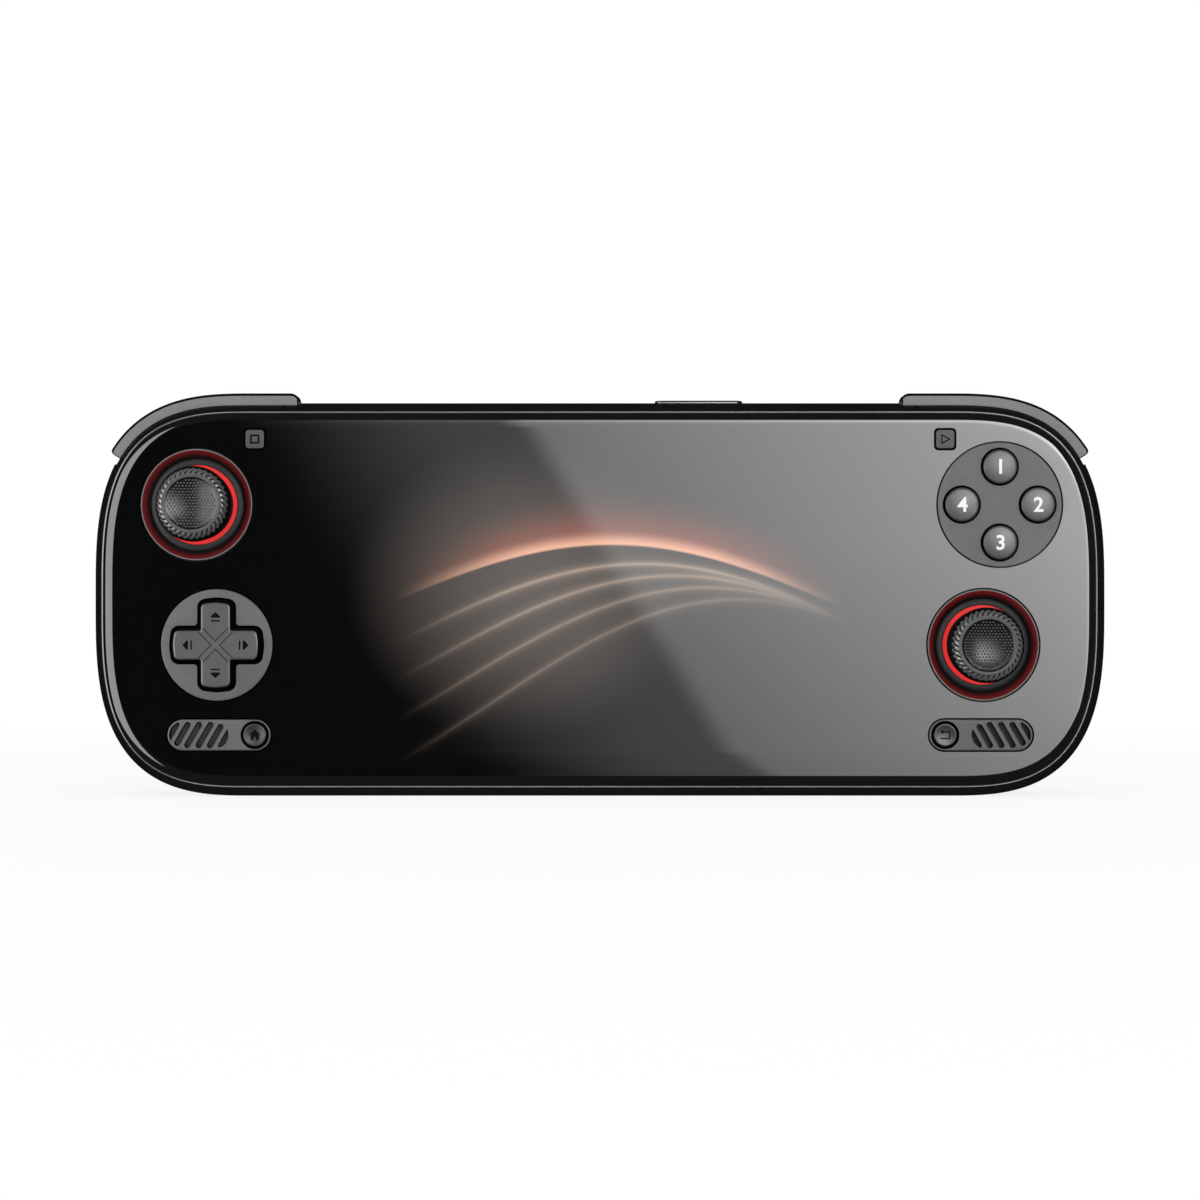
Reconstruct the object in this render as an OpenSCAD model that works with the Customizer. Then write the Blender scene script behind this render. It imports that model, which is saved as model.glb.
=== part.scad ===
// Handheld game console with its screen between two groups of controls.
// Width runs along X, depth along Y with the screen towards -Y, and height along Z.
// It stands on its bottom edge. Depths are measured back from the face of the glass.

/* [Body] */
// Width of the lit screen
screen_w = 126.9; // [122:0.1:135]
// Height of the lit screen
screen_h = 71.4; // [69:0.1:80]
// From the side of the screen to the side of the body
side_zone = 43.5; // [42:0.1:50]
// From the screen to the top and bottom edges of the body
edge_margin = 5.9; // [5.7:0.1:8]
// Depth from the glass to the flat of the back
body_d = 14; // [13.6:0.1:17]
// Reach of each corner curve along the top and bottom edges
corner_w = 33; // [28:0.5:38]
// Straight stretch left in the middle of each side
side_flat = 3.6; // [1:0.1:10]
// Squareness of the corner curve, where 2 is an ellipse
corner_power = 2.9; // [2.5:0.1:3.4]
// Depth of the seam between frame and back cover
seam_d = 10.5; // [10.4:0.1:11.2]
// Wall of the frame and of the back cover's sides
wall_t = 3.4; // [3:0.1:3.6]
// Thickness of the back cover's flat
cover_t = 1.4; // [1:0.1:1.8]
// How far the grips swell behind the flat of the back
grip_reach = 2.4; // [2.3:0.1:4]
// Width of the back cover's rounded edge
cover_round_w = 5; // [3:0.1:7]

/* [Front] */
// Width of the frame's rounded front edge
rim_w = 1.75; // [1.4:0.05:2]
// How far the frame's rim lies behind the face of the glass
rim_d = 0.55; // [0.3:0.05:0.7]
// Depth over which the frame's front edge rounds off
rim_round_d = 2.05; // [1.2:0.05:2.4]
// Width of the polished chamfer inside the rim
chamfer_w = 0.3; // [0.15:0.05:0.4]
// Thickness of the glass
glass_t = 1.1; // [1:0.05:1.3]
// Width of the curved edge of the glass
glass_edge_w = 2.3; // [1:0.1:3]
// Drop of the curved edge of the glass
glass_edge_drop = 0.85; // [0.3:0.05:0.9]
// Thickness of the screen panel
display_t = 1.85; // [1.5:0.05:2]
// Dark border of the screen panel
display_border = 1.4; // [1:0.1:1.5]
// Thickness of the frame's web behind the screen
web_t = 0.8; // [0.6:0.05:1]
// Flanges that hold inlays behind the glass
flange_t = 0.8; // [0.6:0.05:0.9]
// How far those flanges reach past the cut-outs
flange_w = 0.9; // [0.6:0.1:1.1]
// Gap round inlays and keys in the glass
inlay_gap = 0.2; // [0.1:0.05:0.3]

/* [Sticks] */
// Left stick, from the side of the body
left_stick_in = 21.85; // [21:0.05:24]
// Height of the left stick and the face buttons, as a share of the body's height
upper_share = 0.7404; // [0.732:0.001:0.752]
// Right stick and cross, from the side of the body
lower_in = 26.1; // [25:0.1:27]
// Height of the right stick and the cross, as a share of the body's height
lower_share = 0.3846; // [0.374:0.001:0.396]
// Radius of a stick's collar
collar_r = 11.75; // [11.2:0.05:12.2]
// Radius of the hole in a stick's collar
collar_hole_r = 8.4; // [7.6:0.1:9]
// Height of a stick above the glass
stick_reach = 7; // [6.8:0.1:9]
// Radius of a stick cap at the top of its knurl
cap_top_r = 6.35; // [6.2:0.05:6.6]
// Radius of a stick cap at the shoulder of its knurl
cap_mid_r = 7.3; // [7.1:0.05:7.5]
// Radius of a stick cap at its lower edge
cap_low_r = 7.8; // [7.6:0.05:8.1]
// Height of the knurled side of a stick cap
cap_side_h = 3.15; // [2.6:0.05:3.2]
// Teeth around a stick cap
cap_teeth = 36; // [24:1:64]
// Depth of a tooth
tooth_h = 0.45; // [0.1:0.05:0.5]
// Radius of the dish in a stick cap
dish_r = 5.55; // [4.5:0.05:5.75]
// Depth of the dish
dish_d = 0.7; // [0.3:0.05:0.9]
// Radius of a stick's stem
stem_r = 1.9; // [1.5:0.05:2]
// Radius of the gimbal's pins
gimbal_pin_r = 0.85; // [0.7:0.05:0.9]
// Travel of a stick's click
stick_click = 0.4; // [0.3:0.05:0.45]

/* [Buttons] */
// Radius of the cross's plate
dpad_plate_r = 11.75; // [11.6:0.05:12]
// Length of the cross over two arms
dpad_len = 17.8; // [16.5:0.1:18]
// Width of an arm of the cross
dpad_arm = 6; // [5:0.1:6.2]
// Draft of the cross's sides
dpad_draft = 0.75; // [0.4:0.05:0.9]
// Height of the cross above its plate
dpad_proud = 1.7; // [1:0.1:2.2]
// Face buttons, from the side of the body
face_in = 22.65; // [22:0.05:24]
// Radius of the face buttons' plate
face_plate_r = 13.05; // [12.9:0.05:13.4]
// Face buttons, from the middle of their plate
face_pitch = 8; // [7.8:0.05:8.2]
// Radius of a face button
face_r = 3.62; // [3.3:0.02:3.7]
// Height of a face button above its plate
face_proud = 1.15; // [0.95:0.05:1.6]
// Travel of a face button
face_travel = 0.9; // [0.6:0.05:0.9]
// Gap around a face button
face_gap = 0.43; // [0.2:0.01:0.5]
// Small square buttons, from the side of the body
menu_in = 34.15; // [33:0.05:35]
// Height of the small square buttons, as a share of the body's height
menu_share = 0.9063; // [0.9:0.001:0.908]
// Width of a small square button
menu_w = 4.05; // [3.6:0.05:4.2]
// Travel of the small buttons
small_travel = 0.5; // [0.3:0.05:0.55]

/* [Speaker plates] */
// Speaker plates, from the side of the body
pill_in = 26.6; // [26:0.1:27.4]
// Height of the speaker plates, as a share of the body's height
pill_share = 0.1563; // [0.152:0.001:0.161]
// Length of a speaker plate
pill_len = 21.8; // [21:0.1:22.4]
// Width of a speaker plate
pill_w = 6.5; // [6.2:0.1:6.8]
// Round button, from the middle of its speaker plate
pill_button_x = 7.55; // [7.2:0.05:7.6]
// Radius of the round buttons
pill_button_r = 2.45; // [2.2:0.05:2.5]
// Width of a speaker slot
slot_w = 1.1; // [0.8:0.05:1.4]
// Spacing of the speaker slots
slot_pitch = 2.4; // [2.2:0.05:2.6]
// Lean of the speaker slots
slot_lean = 60; // [50:1:70]
// Speaker slots in a plate
slot_count = 6; // [3:1:6]

/* [Shoulders] */
// Height of the bumpers above the body
bumper_proud = 2.05; // [1.6:0.05:2.4]
// Inner end of a bumper, from the side of the body
bumper_len = 43.1; // [42:0.1:44]
// Turn of the corner curve at which a bumper ends
bumper_end_turn = 37.5; // [33:0.5:42]
// Depth at which a bumper starts
bumper_front_d = 2.25; // [2.1:0.05:2.4]
// Width of a bumper along the depth
bumper_d = 5.05; // [4.6:0.05:5.1]
// Radius of the bumpers' pins
bumper_pin_r = 0.6; // [0.5:0.02:0.62]
// Width of a trigger
trigger_w = 23.8; // [21:0.1:24]
// Height of the triggers above the body
trigger_proud = 1.5; // [1:0.1:1.6]
// How far the triggers stand behind the flat of the back
trigger_back = 2.1; // [1.9:0.1:2.2]
// Radius of the triggers' pins
trigger_pin_r = 0.6; // [0.5:0.02:0.7]

/* [Edges] */
// Middle of the volume rocker
volume_x = 21.05; // [18:0.05:24]
// Length of the volume rocker
volume_len = 18.7; // [15:0.1:20]
// Height of the volume rocker above the top edge
volume_proud = 0.57; // [0.5:0.01:0.9]
// Middle of the power button
power_x = 43.1; // [42.6:0.05:46]
// Length of the power button
power_len = 11.2; // [9:0.1:12]
// Width of the keys in the top edge
edge_key_w = 3.2; // [2.6:0.1:3.4]
// Depth of the keys and openings in the edges
edge_d = 7; // [6.8:0.05:7.4]
// Travel of the power button
power_travel = 0.35; // [0.2:0.05:0.4]
// Middle of the audio socket
jack_x = -24.8; // [-27:0.1:-18]
// Radius of the audio socket's bore
jack_r = 1.8; // [1.76:0.01:1.9]
// Middle of the card slot
card_x = -44.85; // [-47:0.05:-42]
// Width of a card
card_w = 11.2; // [11:0.1:11.6]
// Length of the port's opening
usb_len = 8.34; // [8.2:0.02:8.5]
// Height of the port's opening
usb_h = 2.56; // [2.4:0.02:2.7]

/* [Inside] */
// Height of the board pillars behind the web
pillar_h = 1.1; // [1:0.05:1.2]
// Thickness of the circuit boards
board_t = 0.8; // [0.6:0.05:1]
// Width of the battery
battery_w = 118; // [90:1:120]
// Height of the heat sink's fins
sink_h = 5.1; // [4:0.1:6]
// Thickness of the battery
battery_t = 6.4; // [4:0.1:7]
// Radius of the fan wheel
fan_r = 12.6; // [10:0.1:13]
// Blades on the fan wheel
fan_blades = 19; // [11:1:25]
// Fins in the heat sink
fin_count = 15; // [8:1:20]
// Running fit of pins and sliders
fit = 0.05; // [0.03:0.01:0.08]
// Gap around pieces that move
play = 0.3; // [0.2:0.05:0.35]

/* [Hidden] */
$fn = 64;

// Overall sizes and the depth of each layer
half_w = screen_w / 2 + side_zone;
half_h = screen_h / 2 + edge_margin;
top_z = 2 * half_h;
corner_h = half_h - side_flat / 2;
overall_d = stick_reach + body_d + grip_reach;
face_y = stick_reach - overall_d / 2;
over = 1;
foam_t = 0.15;
flange_back = glass_t + flange_t;
web_front = glass_t + display_t + foam_t;
web_back = web_front + web_t;
board_front = web_back + pillar_h;
board_back = board_front + board_t;
cover_in = body_d - cover_t;
pocket_in = rim_w + chamfer_w;
glass_gap = 0.1;
glass_in = pocket_in + glass_gap;
ledge_w = 2.05;
ledge_in = glass_in + ledge_w;
corner_steps = 18;
edge_steps = 4;
bumper_steps = 12;
upper_z = upper_share * top_z;
lower_rise = lower_share * top_z;
menu_z = menu_share * top_z;
pill_rise = pill_share * top_z;

// Places of the controls
left_stick = [left_stick_in - half_w, upper_z];
right_stick = [half_w - lower_in, lower_rise];
dpad = [lower_in - half_w, lower_rise];
face = [half_w - face_in, upper_z];
left_pill = [pill_in - half_w, pill_rise];
right_pill = [half_w - pill_in, pill_rise];
menu = [menu_in - half_w, menu_z];
start = [half_w - menu_in, menu_z];

// Gimbal of a stick, from its pivot outwards
pivot_rise = 2.6;
pivot_d = web_back + pivot_rise;
hub_r = 2.2;
yoke_room_x = 1;
yoke_room_z = 0.8;
yoke_open_x = hub_r + yoke_room_x;
yoke_open_z = hub_r + yoke_room_z;
yoke_wall = 1.8;
yoke_half_x = yoke_open_x + yoke_wall;
yoke_half_z = yoke_open_z + yoke_wall;
yoke_t = 2.2;
carrier_bore = norm([yoke_half_z, yoke_t / 2]) + play;
carrier_wall = 1.3;
carrier_half = carrier_bore + carrier_wall;
carrier_h = 4.2;
lid_t = pivot_d - carrier_h / 2 - 2 * fit - web_back;
base_wall = 1.4;
base_half = carrier_half + 2 * fit + base_wall;
base_floor = 0.8;
base_back = pivot_d + max(carrier_h / 2, hub_r) + stick_click + play + base_floor;
stick_flange_w = 2;
stick_flange = base_half + stick_flange_w;
stick_flange_t = 0.7;
dome_r = 6.2;
dome_t = 0.6;
dome_angle = 50;
dome_lap = 0.2;
lid_rest = 0.4;
lid_hole_r = dome_r - dome_lap;
web_stick_r = lid_hole_r + lid_rest;
cap_rim_h = 0.25;
cap_shoulder_h = 1.05;
cap_edge_d = cap_side_h + cap_rim_h - stick_reach;
cap_rim_in = 0.1;
cap_rim_bevel = 0.3;
cap_rim_step = 0.1;
cap_lip_h = 0.45;
cap_lip_w = 0.5;
cap_root = 0.4;
tooth_turns = 0.6;
cap_neck_r = 3.4;
cap_neck_end = pivot_d - dome_r - 2 * fit;
stem_grip = 1;
stem_end = cap_edge_d - stem_grip;
stick_screw_out = 0.95;
stick_screw_at = base_half + stick_screw_out;
pin_short = 0.2;
ring_lap = 1.4;
ring_short = 1.3;
ring_lip = 0.3;
ring_gap = 0.1;
ring_back_gap = 0.2;
ring_in = collar_hole_r - ring_lap;
ring_out = collar_r - ring_short;
collar_lip = 0.5;
collar_lip_rise = 0.2;
collar_slope = 1.3;
collar_inner_h = 0.55;
collar_flat = 0.35;
collar_bevel = 0.15;

// Cross and its ball
dpad_flange_in = 0.85;
dpad_flange_r = dpad_plate_r - dpad_flange_in;
dpad_tilt = 3.5;
dpad_clear = 0.06;
dpad_swing = dpad_flange_r * sin(sqrt(2) * dpad_tilt) + dpad_clear;
dpad_flange_front = flange_back + dpad_swing;
dpad_flange_t = 0.6;
dpad_ball_r = 0.9;
dpad_ball_gap = 0.55;
dpad_ball_d = dpad_flange_front + dpad_flange_t + dpad_ball_gap;
dpad_seat = 0.25;
dpad_corner_r = 1.1;
dpad_corner_cut = 0.5;
dpad_bow = 0.35;
dpad_bow_steps = 2;
dpad_edge = 0.3;
rib_w = 0.9;
rib_h = 0.2;
rib_short = 1.2;
dpad_boss_r = 1.9;
dpad_recess = 0.5;
membrane_t = 0.4;
well_gap = 0.4;
switch_gap = 0.1;

// Face buttons and small buttons
face_flange_w = 1;
face_flange_d = 0.8;
face_crown = 0.3;
face_edge_w = 0.3;
face_edge_top = 0.2;
face_edge_low = 0.7;
face_dome_r = 2.4;
face_end = flange_back + fit + face_flange_d;
face_mat_w = 0.6;
menu_proud = 0.2;
menu_corner_r = 0.75;
menu_hole_r = 0.9;
menu_flange_w = 0.7;
menu_flange_t = 0.6;
menu_well = 0.5;
round_proud = 0.25;
round_flange_w = 0.95;
round_flange_t = 0.55;
small_stem_r = 1.2;
small_stem_short = 0.3;
small_stem_end = web_back - small_stem_short;
dome_switch_r = 1.5;

// Shoulders
bumper_in = 0.8;
bumper_room = 1.6;
bumper_end_room = 3;
bumper_back_d = bumper_front_d + bumper_d;
bumper_inner_x = half_w - bumper_len;
bumper_round = 0.8;
bumper_round_share = 0.25;
bumper_end_r = 1.7;
bumper_end_drop = 1;
bumper_end_reach = 1.5;
bumper_end_steps = 3;
bumper_tail_steps = 3;
bumper_pin_in = 3.2;
bumper_pin_drop = 1.3;
bumper_pin = [bumper_inner_x + bumper_pin_in, top_z - bumper_pin_drop];
bumper_pin_seat = 0.75;
bumper_pin_short = 0.1;
bumper_ear_wall = 0.6;
bumper_ear_r = bumper_pin_r + bumper_ear_wall;
rebate_gap = 0.15;
rebate_front = bumper_front_d - rebate_gap;
rebate_back = bumper_back_d + rebate_gap;
divider_t = 0.6;
divider_back = rebate_back + divider_t;
trigger_gap = 0.25;
trigger_front = divider_back + trigger_gap;
trigger_in = 1.8;
trigger_inner_x = bumper_inner_x + trigger_in;
trigger_axis_drop = 4.2;
trigger_axis_z = top_z - trigger_axis_drop;
trigger_ear_wall = 0.7;
trigger_ear_r = trigger_pin_r + trigger_ear_wall;
trigger_axis_d = trigger_front + trigger_ear_r;
trigger_ear_w = 2.4;
trigger_ear_in = 0.25;
trigger_lug_w = 2.2;
trigger_lug_step = 0.5;
trigger_pin_gap = 0.3;
trigger_pin_short = 0.1;
trigger_nose = 0.4;
trigger_tail = 6.7;
trigger_arm_t = 1.4;
trigger_arm_drop = 0.5;
trigger_far_in = 1;
trigger_far_sink = 0.2;
trigger_end_in = 0.4;
trigger_steps = 6;
trigger_tip_d = body_d + trigger_back;

// Keys in the top edge
key_r = edge_key_w / 2;
key_flange = 0.9;
key_flange_t = 0.8;
volume_turn = 1.5;
volume_gap = 0.15;
volume_flange_z = top_z - wall_t - (volume_len / 2 + key_flange) * sin(volume_turn) - volume_gap;
volume_pin_r = 0.8;
volume_pin_drop = 0.8;
volume_pin_len = 3;
volume_ear = 1;
volume_pin_z = volume_flange_z - key_flange_t - volume_pin_drop;
power_sink = 0.15;
power_flange_z = top_z - wall_t - fit;

// Inside
pillar_r = 1.5;
board_gap = 2.7;
board_side_gap = 9.6;
board_wall_gap = 0.8;
board_stick_gap = 1;
board_in_x = screen_w / 2 + display_border + board_gap;
board_out_x = half_w - board_side_gap;
pillar_low_rise = 5.6;
pillar_mid_rise = 0.5;
pillar_inset = 2.2;
pillar_rows = [pill_rise + pillar_low_rise, (upper_z + lower_rise) / 2 + pillar_mid_rise];
pillar_cols = [board_in_x + pillar_inset, board_out_x - pillar_inset];
screw_gap = 0.1;
pan_w = 0.6;
pan_h = 0.6;
screw_r = 0.75;
back_screw_r = 0.8;
back_screw_head_r = 1.9;
back_boss_r = 2.2;
back_screw_out = 1;
back_screw_rise = 7.6;
back_screw_drop = 11.7;
back_screw_side = 7.2;
back_screw_x = screen_w / 2 + back_screw_out;
back_screw_at = [[back_screw_x, back_screw_rise], [back_screw_x, top_z - back_screw_drop],
  [half_w - back_screw_side, half_h]];
back_hole_d = 2;
back_tip_gap = 0.4;
back_floor = 0.5;
back_head_sink = 0.25;
back_socket_r = 0.9;
back_socket_d = 0.5;
back_socket_sides = 6;
speaker_w = 15.4;
speaker_h = 11;
speaker_t = 5;
speaker_x = -4;
speaker_gap = 0.2;
speaker_cone_d = 0.8;
speaker_cone_x = 2;
speaker_cone_z = 3;
speaker_room = 1;
speaker_room_z = 1.4;
speaker_well_x = 2;
speaker_well_z = 1;
speaker_well_r = 0.4;
slots_over = 1.6;
slots_in = 0.8;
slot_short = 0.1;
display_recess = 0.4;
io_over = 12;
io_left = card_x - io_over;
io_right = 14;
io_gap = 0.6;
io_low = wall_t + io_gap;
io_high = 19.2;
io_mid_x = -12;
io_jack_room = 1;
io_card_room = 3.4;
io_usb_room = 2;
io_usb_len = 5.4;
fan_t = 5.4;
fan_wall = 0.8;
fan_clear = 0.6;
fan_half = fan_r + fan_clear + fan_wall;
fan_mouth = 2.4;
fan_mouth_in = 2;
fan_intake_lip = 2.5;
fan_axle_r = 0.8;
fan_axle_short = 0.6;
fan_hub_r = 4.6;
blade_root_r = 4.2;
blade_lean = 28;
blade_t = 0.6;
blade_tip_gap = 0.17;
rotor_front_gap = 0.3;
rotor_back_gap = 0.4;
blade_short = 0.1;
exhaust_count = 9;
exhaust_pitch = 3.2;
exhaust_len = 4.4;
exhaust_w = 1.8;
intake_count = 4;
intake_pitch = 2.9;
intake_w = 1.5;
intake_half = 8.06;
intake_step = 1.265;
sink_gap = 0.4;
sink_low_gap = 0.3;
sink_top = top_z - wall_t - sink_gap;
sink_low = sink_top - sink_h;
fin_t = 0.4;
plate_t = 1;
plate_drop = 13;
plate_lap = 8;
main_left = -9;
main_side_gap = 3;
main_right = screen_w / 2 - main_side_gap;
main_pillar_h = 1.5;
main_front = web_back + main_pillar_h;
main_back = main_front + board_t;
main_top_gap = 2;
main_high = volume_pin_z - volume_pin_r - main_top_gap;
main_pillar_in = 2.4;
main_pillar_drop = 8;
fan_gap_x = 5.4;
fan_gap_z = 2.6;
fan = [main_left - fan_gap_x - fan_r, sink_low - sink_low_gap - fan_mouth - fan_half];
fan_pad = 0.7;
fan_front = web_back + fan_pad;
main_low = fan[1] - fan_r - fan_gap_z;
battery_gap = 1.2;
battery_top_gap = 3;
battery_low = io_high + battery_gap;
battery_h = main_low - battery_top_gap - battery_low;
battery_pad = 0.15;
battery_corner = 1.5;
chip_t = 1.1;
chip_w = 15;
chip_x = -14;
memory_t = 0.9;
memory_w = 12;
memory_h = 13;
memory_x = 3;
memory_z = 2;
coil_t = 0.8;
coil_w = 3.6;
coil_h = 5.4;
coil_x = 15;
coil_pitch = 5;
coil_z = -6;
coil_count = 4;
storage_t = 1.4;
storage_w = 16;
storage_h = 6;
storage_x = 20;
storage_z = 7;
grip_in = 20.5;
grip_drop = 5;
grip_half_w = 15;
grip_half_h = 26;
grip_root = 0.3;
grip_steps = 6;
grip_sides = 32;
grip_crown = 0.6;
usb_wall = 0.3;
jack_body = 2.5;
jack_len = 13.6;
jack_sink = 0.2;
jack_neck = 1;
jack_end_t = 0.8;
card_slot_h = 1.2;
card_shell = 0.5;
card_side_gap = 0.2;
card_len = 14.6;
card_end_t = 1;
usb_sink = 0.3;
usb_deep = 7.4;
usb_end_t = 0.9;
usb_tongue_w = 6.7;
usb_tongue_t = 0.7;
usb_tongue_z = 1.4;

// Colours
c_metal = "#26262a";
c_glass = "#101014";
c_plastic = "#58585c";
c_cap = "#4a4a4e";
c_red = "#c82828";
c_board = "#1d4a34";
c_steel = "#9a9ca0";
c_dark = "#303034";

// Y of a depth measured back from the face of the glass
function at(d) = face_y + d;

// Point of the upper right corner curve at turn t, moved in along its normal
function corner_point(t, inset) =
  let (u = pow(cos(t), 2 / corner_power), v = pow(sin(t), 2 / corner_power))
  let (nx = pow(u, corner_power - 1) / corner_w, nz = pow(v, corner_power - 1) / corner_h)
  let (s = norm([nx, nz]))
  [half_w - corner_w + corner_w * u - inset * nx / s, half_h - corner_h + corner_h * v - inset * nz / s];

// Closed outline of the body, moved in by inset
function outline(inset) =
  let (q = [for (i = [0:corner_steps]) corner_point(90 * i / corner_steps, inset)])
  let (n = corner_steps)
  [for (p = q) [p[0], half_h + p[1]],
   for (i = [n:-1:0]) [-q[i][0], half_h + q[i][1]],
   for (p = q) [-p[0], half_h - p[1]],
   for (i = [n:-1:0]) [q[i][0], half_h - q[i][1]]];

// Levels of a rounded edge: depth and inset, from the flat to the side
function rounded_edge(d, drop, inset, w) =
  [for (i = [0:edge_steps]) let (a = 90 * i / edge_steps)
    [d + drop * (1 - cos(a)), inset + w * (1 - sin(a))]];

// Faces between rings of n points each
function side_faces(n, rings) =
  [for (k = [0:rings - 2]) for (i = [0:n - 1]) let (j = (i + 1) % n, a = k * n, b = a + n)
    each [[a + i, a + j, b + j], [a + i, b + j, b + i]]];

// Faces that close the first and last of those rings where they are convex
function flat_ends(n, rings) = [[for (i = [n - 1:-1:0]) i], [for (i = [0:n - 1]) (rings - 1) * n + i]];

// The same for toothed rings, around a middle point for each end that follows the rings
function fan_ends(n, rings) = [for (i = [0:n - 1]) let (j = (i + 1) % n, b = (rings - 1) * n, m = rings * n)
  each [[j, i, m], [b + i, b + j, m + 1]]];

// The same for a bent strip, whose points go along one side and back along the other
function strip_ends(n, rings) = [for (i = [0:n / 2 - 2]) let (j = n - 1 - i, b = (rings - 1) * n)
  each [[i, j - 1, i + 1], [i, j, j - 1], [b + i, b + i + 1, b + j - 1], [b + i, b + j - 1, b + j]]];

// Solid through a list of convex rings, from front to back
module tube(rings) {
  n = len(rings[0]);
  polyhedron([for (r = rings) each r], concat(flat_ends(n, len(rings)), side_faces(n, len(rings))));
}

// Middle of a ring of points
function middle(ring) = [for (k = [0:2]) let (v = [for (p = ring) p[k]]) (min(v) + max(v)) / 2];

// Solid through a list of toothed rings
module toothed_tube(rings) {
  n = len(rings[0]);
  ends = [middle(rings[0]), middle(rings[len(rings) - 1])];
  points = concat([for (r = rings) each r], ends);
  polyhedron(points, concat(fan_ends(n, len(rings)), side_faces(n, len(rings))));
}

// Solid through a list of bent strips
module strip_tube(rings) {
  n = len(rings[0]);
  polyhedron([for (r = rings) each r], concat(strip_ends(n, len(rings)), side_faces(n, len(rings))));
}

// Solid lofted through the body's outline at each level
module loft(levels) {
  tube([for (l = levels) [for (p = outline(l[1])) [p[0], at(l[0]), p[1]]]]);
}

// Flat shape drawn in X and Z, between two depths
module slab(d0, d1) {
  translate([0, at(d1), 0]) rotate([90, 0, 0]) linear_extrude(d1 - d0) children();
}

// Round post along the depth
module post(p, r, d0, d1) {
  translate([p[0], at(d1), p[1]]) rotate([90, 0, 0]) cylinder(r = r, h = d1 - d0);
}

// Turned shape about the depth, drawn as radius and depth
module turned(p) {
  translate([p[0], face_y, p[1]]) rotate([-90, 0, 0]) rotate_extrude() children();
}

// Round bar along X between two places
module bar_x(x0, x1, d, z, r) {
  translate([x0, at(d), z]) rotate([0, 90, 0]) cylinder(r = r, h = x1 - x0);
}

// Box between depths, centred on a point in X and Z
module block(p, w, h, d0, d1) {
  translate([p[0] - w / 2, at(d0), p[1] - h / 2]) cube([w, d1 - d0, h]);
}

// Rectangle with round corners
module round_rect(w, h, r) {
  square([w - 2 * r, h], center = true);
  square([w, h - 2 * r], center = true);
  for (x = [-1, 1])
    for (y = [-1, 1])
      translate([x * (w / 2 - r), y * (h / 2 - r)]) circle(r);
}

// Long rounded hole or key
module stadium(len, w) {
  square([len - w, w], center = true);
  for (x = [-1, 1])
    translate([x * (len - w) / 2, 0]) circle(w / 2);
}

// Upright stadium along Z, for keys and openings in the top and bottom edges
module edge_key(x, d, len, w, z0, z1) {
  translate([x, at(d), z0]) linear_extrude(z1 - z0) stadium(len, w);
}

module both_sides() {
  children();
  mirror([1, 0, 0]) children();
}

// Strip of the right corner that a bumper covers, with room past its ends
module bumper_strip() {
  low = bumper_in + bumper_room;
  high = -2 * bumper_proud;
  first = bumper_end_turn - bumper_end_room;
  turns = [for (i = [0:bumper_steps]) first + (90 - first) * i / bumper_steps];
  x0 = bumper_inner_x - play;
  polygon(concat([for (t = turns) corner_point(t, low) + [0, half_h]],
    [[x0, top_z - low], [x0, top_z - high]],
    [for (i = [bumper_steps:-1:0]) corner_point(turns[i], high) + [0, half_h]]));
}

// Places of the pillars and their screws behind one side of the controls
pillars = [for (x = pillar_cols) for (z = pillar_rows) [x, z]];

// Frame

// Frame with the glass's pocket in front of its web and the hollow behind it
module frame_body() {
  pocket = [[web_front, ledge_in], [glass_t, ledge_in], [glass_t, pocket_in], [rim_d + chamfer_w, pocket_in]];
  loft(concat(pocket,
    rounded_edge(rim_d, rim_round_d, 0, rim_w), [[seam_d, 0], [seam_d, wall_t], [web_back, wall_t]]));
}

module web_openings() {
  d0 = web_front - over / 2;
  d1 = web_back + over / 2;
  for (p = [left_stick, right_stick]) {
    post(p, web_stick_r, d0, d1);
    for (x = [-1, 1])
      for (z = [-1, 1])
        post(p + stick_screw_at * [x, z], screw_r + fit, d0, d1);
  }
  post(dpad, dpad_flange_r + 3 * well_gap, d0, d1);
  post(face, face_pitch + face_r + face_flange_w + well_gap, d0, d1);
  for (p = [menu, start])
    block(p, menu_w + 2 * (menu_flange_w + menu_well), menu_w + 2 * (menu_flange_w + menu_well), d0, d1);
  for (p = [left_pill, right_pill])
    slab(d0, d1) translate(p)
      round_rect(pill_len + speaker_well_x, speaker_h + speaker_well_z, speaker_well_r);
}

module shoulder_rebate() {
  slab(rebate_front, rebate_back) bumper_strip();
  post(bumper_pin, bumper_ear_r + play, rebate_front, rebate_back);
  post(bumper_pin, bumper_pin_r + fit, rebate_front - bumper_pin_seat, divider_back + over);
  trigger_pocket(divider_back, seam_d + over, trigger_axis_z - trigger_ear_r - play);
}

// Room for a trigger, from a height to the top
module trigger_pocket(d0, d1, z0) {
  translate([trigger_inner_x - play, at(d0), z0])
    cube([trigger_w + 2 * play, d1 - d0, top_z]);
}

module trigger_lugs() {
  z0 = trigger_axis_z - trigger_ear_r;
  inner = trigger_inner_x - play - trigger_lug_w;
  outer = trigger_inner_x + trigger_w + play;
  for (x = [inner, outer]) {
    step = x == inner ? trigger_lug_step : -trigger_lug_step;
    translate([x, at(divider_back), z0])
      cube([trigger_lug_w, seam_d - divider_back, top_z - wall_t - z0 + step]);
  }
}

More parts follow.
